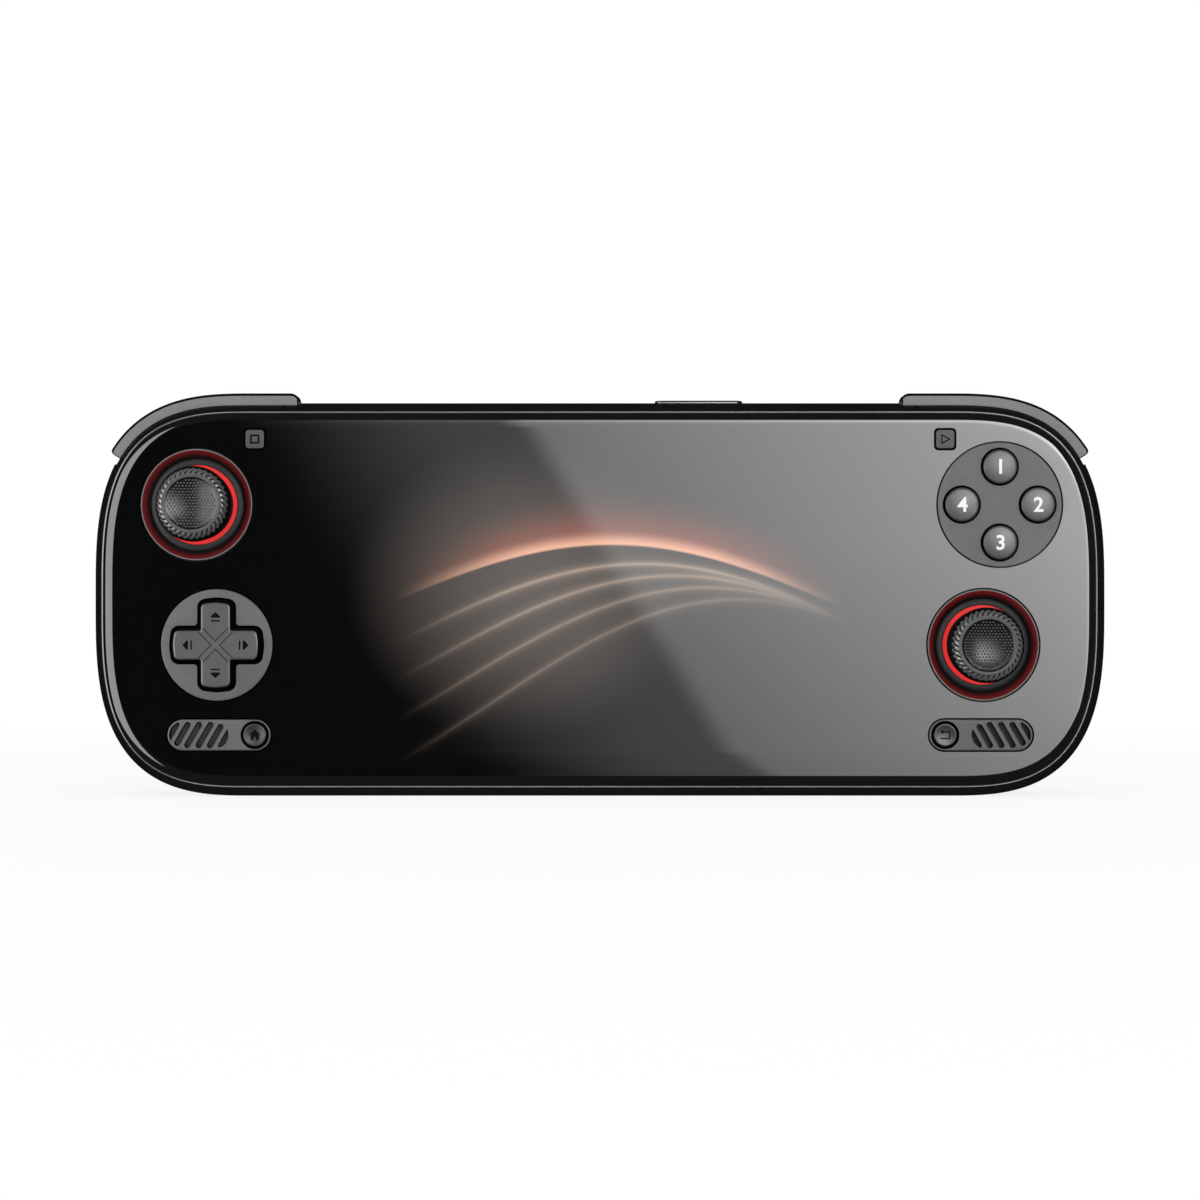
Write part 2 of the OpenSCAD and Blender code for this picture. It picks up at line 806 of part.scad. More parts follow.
module edge_openings() {
  slot_w = edge_key_w + 2 * play;
  slot_z = top_z - wall_t - over;
  edge_key(volume_x, edge_d, volume_len + 2 * play, slot_w, slot_z, top_z + over);
  edge_key(power_x, edge_d, power_len + 2 * play, slot_w, slot_z, top_z + over);
  edge_key(0, edge_d, usb_len + 2 * usb_wall + play, usb_h + 2 * usb_wall + play, -over, wall_t + over);
  edge_key(card_x, edge_d, card_w + 2 * play, card_slot_h + 2 * play, -over, wall_t + over);
  translate([jack_x, at(edge_d), -over]) cylinder(r = jack_body + fit, h = wall_t + 2 * over);
  for (i = [0:exhaust_count - 1])
    translate([fan[0] + (i - (exhaust_count - 1) / 2) * exhaust_pitch, at(edge_d), slot_z])
      linear_extrude(wall_t + 2 * over) rotate(90) stadium(exhaust_len, exhaust_w);
}

module mid_frame() {
  color(c_metal) difference() {
    union() {
      frame_body();
      both_sides() {
        trigger_lugs();
        for (p = pillars)
          post(p, pillar_r, web_back - fit, board_front);
        for (p = back_screw_at)
          post(p, back_boss_r, web_back - fit, cover_in);
      }
      for (p = main_pillars)
        post(p, pillar_r, web_back - fit, main_front);
      for (p = io_pillars)
        post(p, pillar_r, web_back - fit, main_front);
      post([volume_x, volume_pin_z], volume_pin_r, web_back - fit, edge_d + volume_pin_len);
    }
    web_openings();
    edge_openings();
    both_sides() {
      shoulder_rebate();
      bar_x(trigger_inner_x - play - trigger_lug_w + trigger_pin_gap,
        trigger_inner_x + trigger_w + play + trigger_lug_w,
        trigger_axis_d, trigger_axis_z, trigger_pin_r + fit);
      for (p = pillars)
        post(p, screw_r + fit, web_back, board_front + over);
      for (p = back_screw_at)
        post(p, back_screw_r + fit, web_back + back_hole_d, cover_in + over);
    }
    for (p = main_pillars)
      post(p, screw_r + fit, web_back, main_front + over);
    for (p = io_pillars)
      post(p, screw_r + fit, web_back, main_front + over);
  }
}

// Glass and screen

module front_glass() {
  hole = inlay_gap;
  color(c_glass) difference() {
    loft(concat(rounded_edge(0, glass_edge_drop, glass_in, glass_edge_w), [[glass_t, glass_in]]));
    for (p = [left_stick, right_stick])
      post(p, collar_r + hole, -over, glass_t + over);
    post(dpad, dpad_plate_r + hole, -over, glass_t + over);
    post(face, face_plate_r + hole, -over, glass_t + over);
    for (p = [left_pill, right_pill])
      slab(-over, glass_t + over) translate(p) stadium(pill_len + 2 * hole, pill_w + 2 * hole);
    for (p = [menu, start])
      slab(-over, glass_t + over) translate(p) round_rect(menu_w + 2 * play, menu_w + 2 * play, menu_hole_r);
  }
}

module display_panel() {
  w = screen_w + 2 * display_border;
  h = screen_h + 2 * display_border;
  color("#202228") difference() {
    block([0, half_h], w, h, glass_t, glass_t + display_t);
    block([0, half_h], screen_w, screen_h, glass_t + display_t - display_recess, glass_t + display_t + over);
  }
}

// Back

// Smooth swelling of the back under one palm
module grip() {
  middle = [half_w - grip_in, half_h - grip_drop];
  tube([for (k = [0:grip_steps])
    let (s = 1 - k / (grip_steps + grip_crown), rise = grip_reach * (0.5 + 0.5 * cos(180 * s)))
    let (d = k == 0 ? -grip_root : k == grip_steps ? grip_reach : rise)
      [for (i = [0:grip_sides - 1]) let (a = 360 * i / grip_sides)
        [middle[0] + grip_half_w * s * cos(a), at(body_d + d), middle[1] + grip_half_h * s * sin(a)]]]);
}

// Half the length of an intake slot, counted from the middle one
function intake_len(i) = sqrt(max(intake_w * intake_w, pow(intake_half, 2) - pow(i * intake_step, 2)));

module intake_slots() {
  for (i = [-intake_count:intake_count])
    slab(cover_in - over, body_d + over) translate([fan[0] + i * intake_pitch, fan[1]])
      rotate(slot_lean) stadium(2 * intake_len(i), intake_w);
}

module back_cover() {
  edge = rounded_edge(0, body_d - seam_d, 0, cover_round_w);
  levels = [for (i = [edge_steps:-1:0]) [body_d - edge[i][0], edge[i][1]]];
  color(c_dark) difference() {
    union() {
      loft(levels);
      both_sides() grip();
    }
    slab(seam_d - over, cover_in) polygon(outline(wall_t));
    intake_slots();
    both_sides() {
      trigger_pocket(seam_d - over, trigger_axis_d + trigger_ear_r + play,
        trigger_axis_z - trigger_ear_r - play);
      trigger_pocket(seam_d, trigger_tip_d + over, trigger_axis_z + play);
      for (p = back_screw_at) {
        post(p, back_screw_r + play, cover_in - over, body_d + over);
        post(p, back_screw_head_r + play / 2, cover_in + back_floor, body_d + over);
      }
    }
  }
}

module back_screws() {
  color(c_steel) both_sides() for (p = back_screw_at) {
    post(p, back_screw_r, web_back + back_hole_d + back_tip_gap, cover_in + back_floor + screw_gap);
    difference() {
      post(p, back_screw_head_r, cover_in + back_floor, body_d - back_head_sink);
      slab(body_d - back_head_sink - back_socket_d, body_d) translate(p)
        circle(back_socket_r, $fn = back_socket_sides);
    }
  }
}

// Boards and what is on them

main_x = [main_left + main_pillar_in, main_right - main_pillar_in];
main_pillars = [[main_x[0], main_low + main_pillar_in], [main_x[1], main_low + main_pillar_in],
  [main_x[0], main_high - main_pillar_in], [main_x[1], main_high - main_pillar_drop]];
io_pillars = [for (x = [io_left + main_pillar_in, io_mid_x, io_right - main_pillar_in])
  [x, io_high - main_pillar_in]];

// A pan-head screw that holds a board on its pillar
module pan_screw(p, d_end, d_head) {
  post(p, screw_r, d_end, d_head + screw_gap);
  post(p, screw_r + pan_w, d_head, d_head + pan_h);
}

module board_screws() {
  color(c_steel) {
    both_sides() for (p = pillars)
      pan_screw(p, web_back + screw_gap, board_back);
    for (p = main_pillars)
      pan_screw(p, web_back + screw_gap, main_back);
    for (p = io_pillars)
      pan_screw(p, web_back + screw_gap, main_back);
    for (s = [left_stick, right_stick])
      for (x = [-1, 1])
        for (z = [-1, 1])
          pan_screw(s + stick_screw_at * [x, z], web_front + screw_gap, web_back + stick_flange_t);
  }
}

// Board behind one group of controls, with cut-outs for its stick and speaker
module control_board(side, stick, pill) {
  difference() {
    slab(board_front, board_back) difference() {
      intersection() {
        polygon(outline(wall_t + board_wall_gap));
        translate([side > 0 ? board_in_x : -board_out_x, 0]) square([board_out_x - board_in_x, top_z]);
      }
      translate(stick) square(2 * stick_flange + board_stick_gap, center = true);
      translate(pill + [-side * speaker_x, 0])
        square([speaker_w + speaker_room, speaker_h + speaker_room_z], center = true);
    }
    for (p = pillars)
      post([side * p[0], p[1]], screw_r + fit, board_front - over, board_back + over);
  }
}

// Dome switch under a small button whose stem ends at depth d
module dome_switch(p, d) {
  post(p, dome_switch_r, d + small_travel + switch_gap, board_front);
}

module left_control_board() {
  color(c_board) {
    control_board(-1, left_stick, left_pill);
    dome_switch(menu, small_stem_end);
    dome_switch(left_pill + [pill_button_x, 0], small_stem_end);
    difference() {
      post(dpad, dpad_boss_r, dpad_ball_d + dpad_seat, board_front);
      translate([dpad[0], at(dpad_ball_d), dpad[1]]) sphere(dpad_ball_r + fit);
    }
  }
}

module right_control_board() {
  color(c_board) {
    control_board(1, right_stick, right_pill);
    dome_switch(start, small_stem_end);
    dome_switch(right_pill - [pill_button_x, 0], small_stem_end);
  }
}

module main_board() {
  mid_x = (main_left + main_right) / 2;
  mid_z = (main_low + main_high) / 2;
  color(c_board) difference() {
    union() {
      block([mid_x, mid_z], main_right - main_left, main_high - main_low, main_front, main_back);
      block([mid_x + chip_x, mid_z], chip_w, chip_w, main_back, main_back + chip_t);
      block([mid_x + memory_x, mid_z + memory_z], memory_w, memory_h, main_back, main_back + memory_t);
      for (i = [0:coil_count - 1])
        block([mid_x + coil_x + coil_pitch * i, mid_z + coil_z], coil_w, coil_h,
          main_back, main_back + coil_t);
      block([mid_x + storage_x, mid_z + storage_z], storage_w, storage_h, main_back, main_back + storage_t);
    }
    for (p = main_pillars)
      post(p, screw_r + fit, main_front - over, main_back + over);
  }
}

module io_board() {
  mid = [(io_left + io_right) / 2, (io_low + io_high) / 2];
  color(c_board) difference() {
    block(mid, io_right - io_left, io_high - io_low, main_front, main_back);
    block([jack_x, 0], 2 * jack_body + io_jack_room, 2 * (wall_t + jack_len),
      main_front - over, main_back + over);
    block([card_x, 0], card_w + io_card_room, 2 * (wall_t + card_len + card_shell + play),
      main_front - over, main_back + over);
    block([0, 0], usb_len + io_usb_room, 2 * (wall_t + io_usb_len), main_front - over, main_back + over);
    for (p = io_pillars)
      post(p, screw_r + fit, main_front - over, main_back + over);
  }
}

module battery() {
  mid = [0, battery_low + battery_h / 2];
  color("#3a3a40") {
    slab(web_back + battery_pad, web_back + battery_pad + battery_t)
      translate(mid) round_rect(battery_w, battery_h, battery_corner);
  }
}

module fan_housing() {
  back = fan_front + fan_t;
  color(c_dark) {
    difference() {
      block(fan + [0, fan_mouth / 2], 2 * fan_half, 2 * fan_half + fan_mouth, fan_front, back);
      post(fan, fan_r + fan_clear, fan_front + fan_wall, back - fan_wall);
      post(fan, fan_r - fan_intake_lip, back - fan_wall - over, back + over);
      block(fan + [0, fan_half], 2 * fan_r - fan_mouth_in, 2 * fan_half,
        fan_front + fan_wall, back - fan_wall);
    }
    post(fan, fan_axle_r, fan_front + fan_wall - fit, back - fan_wall - fan_axle_short);
  }
}

module fan_rotor() {
  front = fan_front + fan_wall + rotor_front_gap;
  back = fan_front + fan_t - fan_wall - rotor_back_gap;
  color(c_plastic) difference() {
    union() {
      post(fan, fan_hub_r, front, back);
      for (i = [0:fan_blades - 1])
        translate([fan[0], at(front), fan[1]]) rotate([0, 360 * i / fan_blades, 0])
          translate([blade_root_r, 0, 0]) rotate([0, blade_lean, 0]) translate([0, 0, -blade_t / 2])
            cube([fan_r - blade_root_r - blade_tip_gap, back - front - blade_short, blade_t]);
    }
    post(fan, fan_axle_r + fit, front - over, back + over);
  }
}

// Fins over the fan's mouth, and a plate that reaches down from them to the chip
module heat_sink() {
  width = 2 * fan_half;
  left = fan[0] - fan_half;
  plate = main_back + chip_t + fit;
  plate_right = (main_left + main_right) / 2 + chip_x + plate_lap;
  arm_left = left + width + play;
  arm_low = sink_low - plate_drop;
  color("#a8733c") {
    for (i = [0:fin_count - 1])
      translate([left + i * (width - fin_t) / (fin_count - 1), at(fan_front), sink_low])
        cube([fin_t, fan_t, sink_h]);
    translate([left, at(plate), sink_low]) cube([width, plate_t, sink_h]);
    translate([left + width - over, at(plate), sink_low])
      cube([plate_right - left - width + over, plate_t, main_high - sink_low]);
    translate([arm_left, at(plate), arm_low]) cube([plate_right - arm_left, plate_t, main_high - arm_low]);
  }
}

// Sticks

module stick_collar(p) {
  low = flange_back - collar_inner_h;
  color("#3c2a2c") turned(p) polygon([[collar_r, glass_t], [collar_r, 0], [collar_r - collar_flat, 0],
    [collar_r - collar_flat - collar_bevel, collar_bevel], [collar_hole_r + collar_slope, low],
    [collar_hole_r + collar_lip, low - collar_lip_rise], [collar_hole_r, low], [collar_hole_r, flange_back],
    [collar_r + flange_w, flange_back], [collar_r + flange_w, glass_t]]);
}

module light_ring(p) {
  back = web_front - ring_back_gap;
  lip_r = collar_hole_r - ring_gap;
  color(c_red) turned(p) polygon([[ring_in, flange_back - ring_lip], [lip_r, flange_back - ring_lip],
    [lip_r, flange_back], [ring_out, flange_back], [ring_out, back], [ring_in, back]]);
}

module stick_base(p) {
  color("#707278") difference() {
    union() {
      block(p, 2 * stick_flange, 2 * stick_flange, web_back, web_back + stick_flange_t);
      block(p, 2 * base_half, 2 * base_half, web_back, base_back);
    }
    block(p, 2 * (carrier_half + 2 * fit), 2 * (carrier_half + 2 * fit),
      web_back + lid_t, base_back - base_floor);
    post(p, lid_hole_r, web_back - over, web_back + lid_t + over);
    for (x = [-1, 1])
      for (z = [-1, 1])
        post(p + stick_screw_at * [x, z], screw_r + fit, web_back - over, web_back + stick_flange_t + over);
  }
}

module stick_carrier(p) {
  front = pivot_d - carrier_h / 2;
  color(c_plastic) difference() {
    block(p, 2 * carrier_half, 2 * carrier_half, front, front + carrier_h);
    block(p, 2 * carrier_bore, 2 * carrier_bore, front - over, front + carrier_h + over);
    bar_x(p[0] - carrier_half - over, p[0] + carrier_half + over, pivot_d, p[1], gimbal_pin_r + fit);
  }
}

module stick_yoke(p) {
  reach = carrier_half - pin_short;
  color(c_steel) difference() {
    union() {
      block(p, 2 * yoke_half_x, 2 * yoke_half_z, pivot_d - yoke_t / 2, pivot_d + yoke_t / 2);
      bar_x(p[0] - reach, p[0] + reach, pivot_d, p[1], gimbal_pin_r);
    }
    block(p, 2 * yoke_open_x, 2 * yoke_open_z, pivot_d - yoke_t, pivot_d + yoke_t);
    translate([p[0], at(pivot_d), p[1] - yoke_half_z - over])
      cylinder(r = gimbal_pin_r + fit, h = 2 * (yoke_half_z + over));
  }
}

module stick_stem(p) {
  reach = yoke_half_z - pin_short;
  color(c_dark) {
    translate([p[0], at(pivot_d), p[1]]) sphere(hub_r);
    translate([p[0], at(pivot_d), p[1] - reach]) cylinder(r = gimbal_pin_r, h = 2 * reach);
    post(p, stem_r, stem_end, pivot_d);
    turned(p) translate([0, pivot_d]) intersection() {
      difference() {
        circle(dome_r);
        circle(dome_r - dome_t);
      }
      polygon([[0, 0], [0, -2 * dome_r], [2 * dome_r * tan(dome_angle), -2 * dome_r]]);
    }
  }
}

// Ring of teeth around a stick cap, turned a little as it rises so that the teeth lean
function tooth_ring(p, d, r, turn) =
  [for (i = [0:2 * cap_teeth - 1]) let (a = 180 * i / cap_teeth + turn, q = r - (i % 2) * tooth_h)
    [p[0] + q * cos(a), at(d), p[1] + q * sin(a)]];

module stick_cap(p) {
  low = cap_edge_d;
  high = low - cap_side_h;
  lean = 360 / cap_teeth * tooth_turns;
  rim_r = cap_top_r - cap_rim_in;
  rings = [tooth_ring(p, high, cap_top_r, lean), tooth_ring(p, high + cap_shoulder_h, cap_mid_r, 0),
    tooth_ring(p, low - cap_lip_h, cap_low_r, -lean), tooth_ring(p, low, cap_low_r - cap_lip_w, -lean)];
  color(c_cap) difference() {
    union() {
      toothed_tube(rings);
      turned(p) polygon([[0, high + cap_root], [rim_r, high + cap_root], [rim_r, high - cap_rim_step],
        [rim_r - cap_rim_bevel, -stick_reach], [0, -stick_reach]]);
      post(p, cap_neck_r, low - fit, cap_neck_end);
    }
    turned(p) intersection() {
      translate([0, -stick_reach - dish_sphere_r + dish_d]) circle(dish_sphere_r, $fn = 256);
      translate([0, -stick_reach - over]) square([dish_r, dish_d + 2 * over]);
    }
    post(p, stem_r + fit, stem_end - fit, cap_neck_end + over);
  }
}

dish_sphere_r = (dish_r * dish_r + dish_d * dish_d) / (2 * dish_d);

module left_stick_collar() { stick_collar(left_stick); }
module right_stick_collar() { stick_collar(right_stick); }
module left_light_ring() { light_ring(left_stick); }
module right_light_ring() { light_ring(right_stick); }
module left_stick_base() { stick_base(left_stick); }
module right_stick_base() { stick_base(right_stick); }
module left_stick_carrier() { stick_carrier(left_stick); }
module right_stick_carrier() { stick_carrier(right_stick); }
module left_stick_yoke() { stick_yoke(left_stick); }
module right_stick_yoke() { stick_yoke(right_stick); }
module left_stick_stem() { stick_stem(left_stick); }
module right_stick_stem() { stick_stem(right_stick); }
module left_stick_cap() { stick_cap(left_stick); }
module right_stick_cap() { stick_cap(right_stick); }

// Cross

module cross_shape(len, arm) {
  for (a = [0, 90])
    rotate(a) round_rect(len, arm, dpad_corner_r);
}

module dpad_plate() {
  color(c_plastic) difference() {
    union() {
      post(dpad, dpad_plate_r, 0, flange_back);
      post(dpad, dpad_plate_r + flange_w, glass_t, flange_back);
    }
    slab(-over, flange_back + over) translate(dpad)
      cross_shape(dpad_len + 2 * dpad_draft + 2 * dpad_recess, dpad_arm + 2 * dpad_draft + 2 * dpad_recess);
  }
}

module dpad_membrane() {
  color("#8a8a86") difference() {
    post(dpad, dpad_flange_r, board_front - membrane_t, board_front);
    post(dpad, dpad_boss_r + play, 0, board_front + over);
  }
}

module dpad_ball() {
  color(c_steel) translate([dpad[0], at(dpad_ball_d), dpad[1]]) sphere(dpad_ball_r);
}

// Outline of one bar of the cross as a ring of points at depth d, turned by a quarter for the upright bar
function bar_ring(len, arm, d, upright) =
  let (a = arm / 2, b = len / 2, c = dpad_corner_cut)
  let (bow = [for (k = [-dpad_bow_steps:dpad_bow_steps]) let (s = k / dpad_bow_steps)
    [b - dpad_bow * s * s, (a - c) * s]])
  let (half = concat(bow, [[b - dpad_bow - c, a], [dpad_bow + c - b, a]]))
  [for (p = concat(half, -half))
    [dpad[0] + (upright ? -p[1] : p[0]), at(d), dpad[1] + (upright ? p[0] : p[1])]];

module dpad_cross() {
  root_len = dpad_len + 2 * dpad_draft;
  root_arm = dpad_arm + 2 * dpad_draft;
  flange_end = dpad_flange_front + dpad_flange_t;
  color(c_plastic) difference() {
    union() {
      for (up = [false, true])
        tube([bar_ring(dpad_len - 2 * dpad_edge, dpad_arm - 2 * dpad_edge, -dpad_proud, up),
          bar_ring(dpad_len, dpad_arm, dpad_edge - dpad_proud, up), bar_ring(root_len, root_arm, 0, up),
          bar_ring(root_len, root_arm, dpad_flange_front + fit, up)]);
      post(dpad, dpad_flange_r, dpad_flange_front, flange_end);
      post(dpad, dpad_boss_r, flange_end - fit, dpad_ball_d - dpad_seat);
      slab(-dpad_proud - rib_h, fit - dpad_proud) translate(dpad) for (a = [45, 135])
        rotate(a) stadium(sqrt(2) * dpad_arm - rib_short, rib_w);
    }
    translate([dpad[0], at(dpad_ball_d), dpad[1]]) sphere(dpad_ball_r + fit);
  }
}

// Face buttons

face_places = [[0, face_pitch], [face_pitch, 0], [0, -face_pitch], [-face_pitch, 0]];

module face_button_plate() {
  color(c_plastic) difference() {
    union() {
      post(face, face_plate_r, 0, flange_back);
      post(face, face_plate_r + flange_w, glass_t, flange_back);
    }
    for (p = face_places)
      post(face + p, face_r + face_gap, -over, flange_back + over);
  }
}

module face_button_membrane() {
  color("#8a8a86") {
    post(face, face_pitch + face_r + face_mat_w, board_front - membrane_t, board_front);
    for (p = face_places)
      post(face + p, face_dome_r, face_end + face_travel + switch_gap, board_front - membrane_t + fit);
  }
}

module face_button(p) {
  crown_r = (face_r * face_r + face_crown * face_crown) / (2 * face_crown);
  edge_r = face_r - face_edge_w;
  color(c_plastic) turned(face + p) {
    intersection() {
      translate([0, crown_r - face_proud]) circle(crown_r, $fn = 256);
      polygon([[0, -face_proud - over], [edge_r, -face_proud - over], [edge_r, face_edge_top - face_proud],
        [face_r, face_edge_low - face_proud], [face_r, flange_back + 2 * fit], [0, flange_back + 2 * fit]]);
    }
    translate([0, flange_back + fit]) square([face_r + face_flange_w, face_flange_d]);
  }
}

module button_north() { face_button(face_places[0]); }
module button_east() { face_button(face_places[1]); }
module button_south() { face_button(face_places[2]); }
module button_west() { face_button(face_places[3]); }

// Small buttons

module square_button(p) {
  color(c_plastic) {
    flange = menu_w + 2 * menu_flange_w;
    slab(-menu_proud, glass_t + 2 * fit) translate(p) round_rect(menu_w, menu_w, menu_corner_r);
    block(p, flange, flange, glass_t + fit, glass_t + fit + menu_flange_t);
    post(p, small_stem_r, glass_t + menu_flange_t, small_stem_end);
  }
}

module menu_button() { square_button(menu); }
module start_button() { square_button(start); }

module round_button(p) {
  color(c_plastic) {
    post(p, pill_button_r, -round_proud, flange_back + 2 * fit);
    post(p, pill_button_r + round_flange_w, flange_back + fit, flange_back + fit + round_flange_t);
    post(p, small_stem_r, flange_back + round_flange_t, small_stem_end);
  }
}

module home_button() { round_button(left_pill + [pill_button_x, 0]); }
module return_button() { round_button(right_pill - [pill_button_x, 0]); }

// Speaker plate with slots that lean, side being -1 on the left
module speaker_plate(p, side) {
  slots_len = pill_len / 2 + slots_over;
  slots_x = side * (pill_len - slots_len - slots_in) / 2;
  color(c_plastic) difference() {
    union() {
      slab(0, flange_back) translate(p) stadium(pill_len, pill_w);
      slab(glass_t, flange_back) translate(p) stadium(pill_len + 2 * flange_w, pill_w + 2 * flange_w);
    }
    slab(-over, flange_back + over) translate(p + [slots_x, 0]) intersection() {
      stadium(slots_len, pill_w - slots_in);
      for (i = [0:slot_count - 1])
        translate([(i - (slot_count - 1) / 2) * slot_pitch, 0])
          rotate(-side * slot_lean) stadium(pill_w - slot_short, slot_w);
    }
    post(p + [-side * pill_button_x, 0], pill_button_r + face_gap, -over, flange_back + over);
  }
}

module left_speaker_plate() { speaker_plate(left_pill, -1); }
module right_speaker_plate() { speaker_plate(right_pill, 1); }

module speaker(p, side) {
  mid = p + [-side * speaker_x, 0];
  front = flange_back + speaker_gap;
  color(c_dark) difference() {
    block(mid, speaker_w, speaker_h, front, front + speaker_t);
    slab(front - over, front + speaker_cone_d) translate(mid)
      stadium(speaker_w - speaker_cone_x, speaker_h - speaker_cone_z);
  }
}

module left_speaker() { speaker(left_pill, -1); }
module right_speaker() { speaker(right_pill, 1); }

// Shoulders

// Section of a bumper across its length, as height above the body and depth, for its height h
function bumper_section(h) =
  let (r = bumper_round, q = r * bumper_round_share, d0 = bumper_front_d, d1 = bumper_back_d)
  [[-bumper_in, d0], [h - r, d0], [h - q, d0 + q], [h, d0 + r],
   [h, d1 - r], [h - q, d1 - q], [h - r, d1], [-bumper_in, d1]];

// One section placed on the corner curve at turn t
function on_corner(section, t) =
  [for (q = section) let (p = corner_point(t, -q[0])) [p[0], at(q[1]), half_h + p[1]]];

// One section placed on the straight top edge at x
function on_top(section, x) = [for (q = section) [x, at(q[1]), top_z + q[0]]];

module right_bumper_body() {
  end_r = bumper_end_r;
  h = bumper_proud;
  first = bumper_end_turn + bumper_end_reach;
  turns = [for (i = [0:bumper_steps]) first + (90 - first) * i / bumper_steps];
  nose = [for (i = [0:bumper_end_steps - 1]) let (s = i / bumper_end_steps)
    on_corner(bumper_section(h - bumper_end_drop * (1 - sqrt(s * (2 - s)))),
      bumper_end_turn + bumper_end_reach * s)];
  corner = concat(nose, [for (t = turns) on_corner(bumper_section(h), t)]);
  tail = [for (i = [0:bumper_tail_steps]) let (a = 90 * i / bumper_tail_steps)
    on_top(bumper_section(h - end_r * (1 - cos(a))), bumper_inner_x + end_r * (1 - sin(a)))];
  sections = concat(corner, tail);
  tube([for (i = [len(sections) - 1:-1:0]) sections[i]]);
}

module right_bumper_shape() {
  color(c_plastic) difference() {
    union() {
      right_bumper_body();
      post(bumper_pin, bumper_ear_r, bumper_front_d, bumper_back_d);
    }
    post(bumper_pin, bumper_pin_r + fit, bumper_front_d - over, bumper_back_d + over);
  }
}

module right_bumper() { right_bumper_shape(); }
module left_bumper() { mirror([1, 0, 0]) right_bumper_shape(); }

module bumper_pins() {
  color(c_steel) both_sides()
    post(bumper_pin, bumper_pin_r, rebate_front - bumper_pin_seat + bumper_pin_short, divider_back - fit);
}

// Section of a trigger along its outside and back along its inside, as shares of its tail and of its depth
trigger_curve = [[0.045, 0], [0, 0.047], [0, 0.216], [0.067, 0.459], [0.209, 0.635], [0.433, 0.838],
  [0.716, 0.966], [1, 1], [1, 0.838], [0.687, 0.784], [0.537, 0.676], [0.448, 0.554], [0.373, 0.405],
  [0.373, 0.216], [0.373, 0.047], [0.373, 0]];

// The same as height above the body and depth
trigger_section = let (d0 = trigger_front + trigger_nose, run = trigger_tip_d - d0)
  [for (s = trigger_curve) [trigger_proud - s[0] * trigger_tail, d0 + s[1] * run]];

// Drop of the body's edge at the outer end of a trigger
trigger_far_x = trigger_inner_x + trigger_w - trigger_far_in;
trigger_far_drop = half_h - corner_point(turn_at(trigger_far_x), -trigger_far_sink)[1];

// Turn of the corner curve that lies at x on the top edge
function turn_at(x) = acos(pow(max(0, (x - half_w + corner_w) / corner_w), corner_power / 2));

module right_trigger_shape() {
  x0 = trigger_inner_x;
  x1 = trigger_inner_x + trigger_w;
  flat_end = half_w - corner_w;
  turns = [for (i = [0:trigger_steps]) 90 + (turn_at(x1 - trigger_end_in) - 90) * i / trigger_steps];
  sections = concat([on_top(trigger_section, x0)],
    [for (t = turns) on_corner(trigger_section, t)]);
  color(c_plastic) difference() {
    union() {
      strip_tube(sections);
      for (x = [x0 + trigger_ear_in, x1 - trigger_far_in - trigger_ear_w]) {
        drop = x == x0 + trigger_ear_in ? trigger_arm_drop : trigger_far_drop;
        bar_x(x, x + trigger_ear_w, trigger_axis_d, trigger_axis_z, trigger_ear_r);
        translate([x, at(trigger_axis_d - trigger_arm_t / 2), trigger_axis_z])
          cube([trigger_ear_w, trigger_arm_t, top_z - trigger_axis_z - drop]);
      }
    }
    bar_x(x0 - over, x1 + over, trigger_axis_d, trigger_axis_z, trigger_pin_r + fit);
  }
}

module right_trigger() { right_trigger_shape(); }
module left_trigger() { mirror([1, 0, 0]) right_trigger_shape(); }

module trigger_pins() {
  color(c_steel) both_sides()
    bar_x(trigger_inner_x - play - trigger_lug_w + trigger_pin_gap + trigger_pin_short,
      trigger_inner_x + trigger_w + play + trigger_lug_w - 2 * trigger_pin_short,
      trigger_axis_d, trigger_axis_z, trigger_pin_r);
}

// Edges

module volume_rocker() {
  flange_low = volume_flange_z - key_flange_t;
  color(c_dark) difference() {
    union() {
      edge_key(volume_x, edge_d, volume_len, edge_key_w, flange_low, top_z + volume_proud);
      edge_key(volume_x, edge_d, volume_len + 2 * key_flange, edge_key_w + 2 * key_flange,
        flange_low, volume_flange_z);
      post([volume_x, volume_pin_z], volume_pin_r + volume_ear, edge_d - key_r, edge_d + key_r);
    }
    post([volume_x, volume_pin_z], volume_pin_r + fit, edge_d - 2 * key_r, edge_d + 2 * key_r);
  }
}

module power_button() {
  color(c_dark) {
    edge_key(power_x, edge_d, power_len, edge_key_w, power_flange_z - key_flange_t, top_z - power_sink);
    edge_key(power_x, edge_d, power_len + 2 * key_flange, edge_key_w + 2 * key_flange,
      power_flange_z - key_flange_t, power_flange_z);
  }
}

module usb_port() {
  z1 = usb_sink + usb_deep;
  color(c_steel) {
    difference() {
      edge_key(0, edge_d, usb_len + 2 * usb_wall, usb_h + 2 * usb_wall, usb_sink, z1);
      edge_key(0, edge_d, usb_len, usb_h, usb_sink - over, z1 - usb_end_t);
    }
    translate([-usb_tongue_w / 2, at(edge_d - usb_tongue_t / 2), usb_tongue_z])
      cube([usb_tongue_w, usb_tongue_t, z1 - usb_end_t / 2 - usb_tongue_z]);
  }
}

module audio_jack() {
  color(c_dark) difference() {
    union() {
      translate([jack_x, at(edge_d), jack_sink]) cylinder(r = jack_body, h = wall_t + jack_neck);
      translate([jack_x - jack_body, at(edge_d - jack_body), wall_t + jack_sink])
        cube([2 * jack_body, 2 * jack_body, jack_len - wall_t]);
    }
    translate([jack_x, at(edge_d), jack_sink - over]) cylinder(r = jack_r, h = jack_len - jack_end_t + over);
  }
}

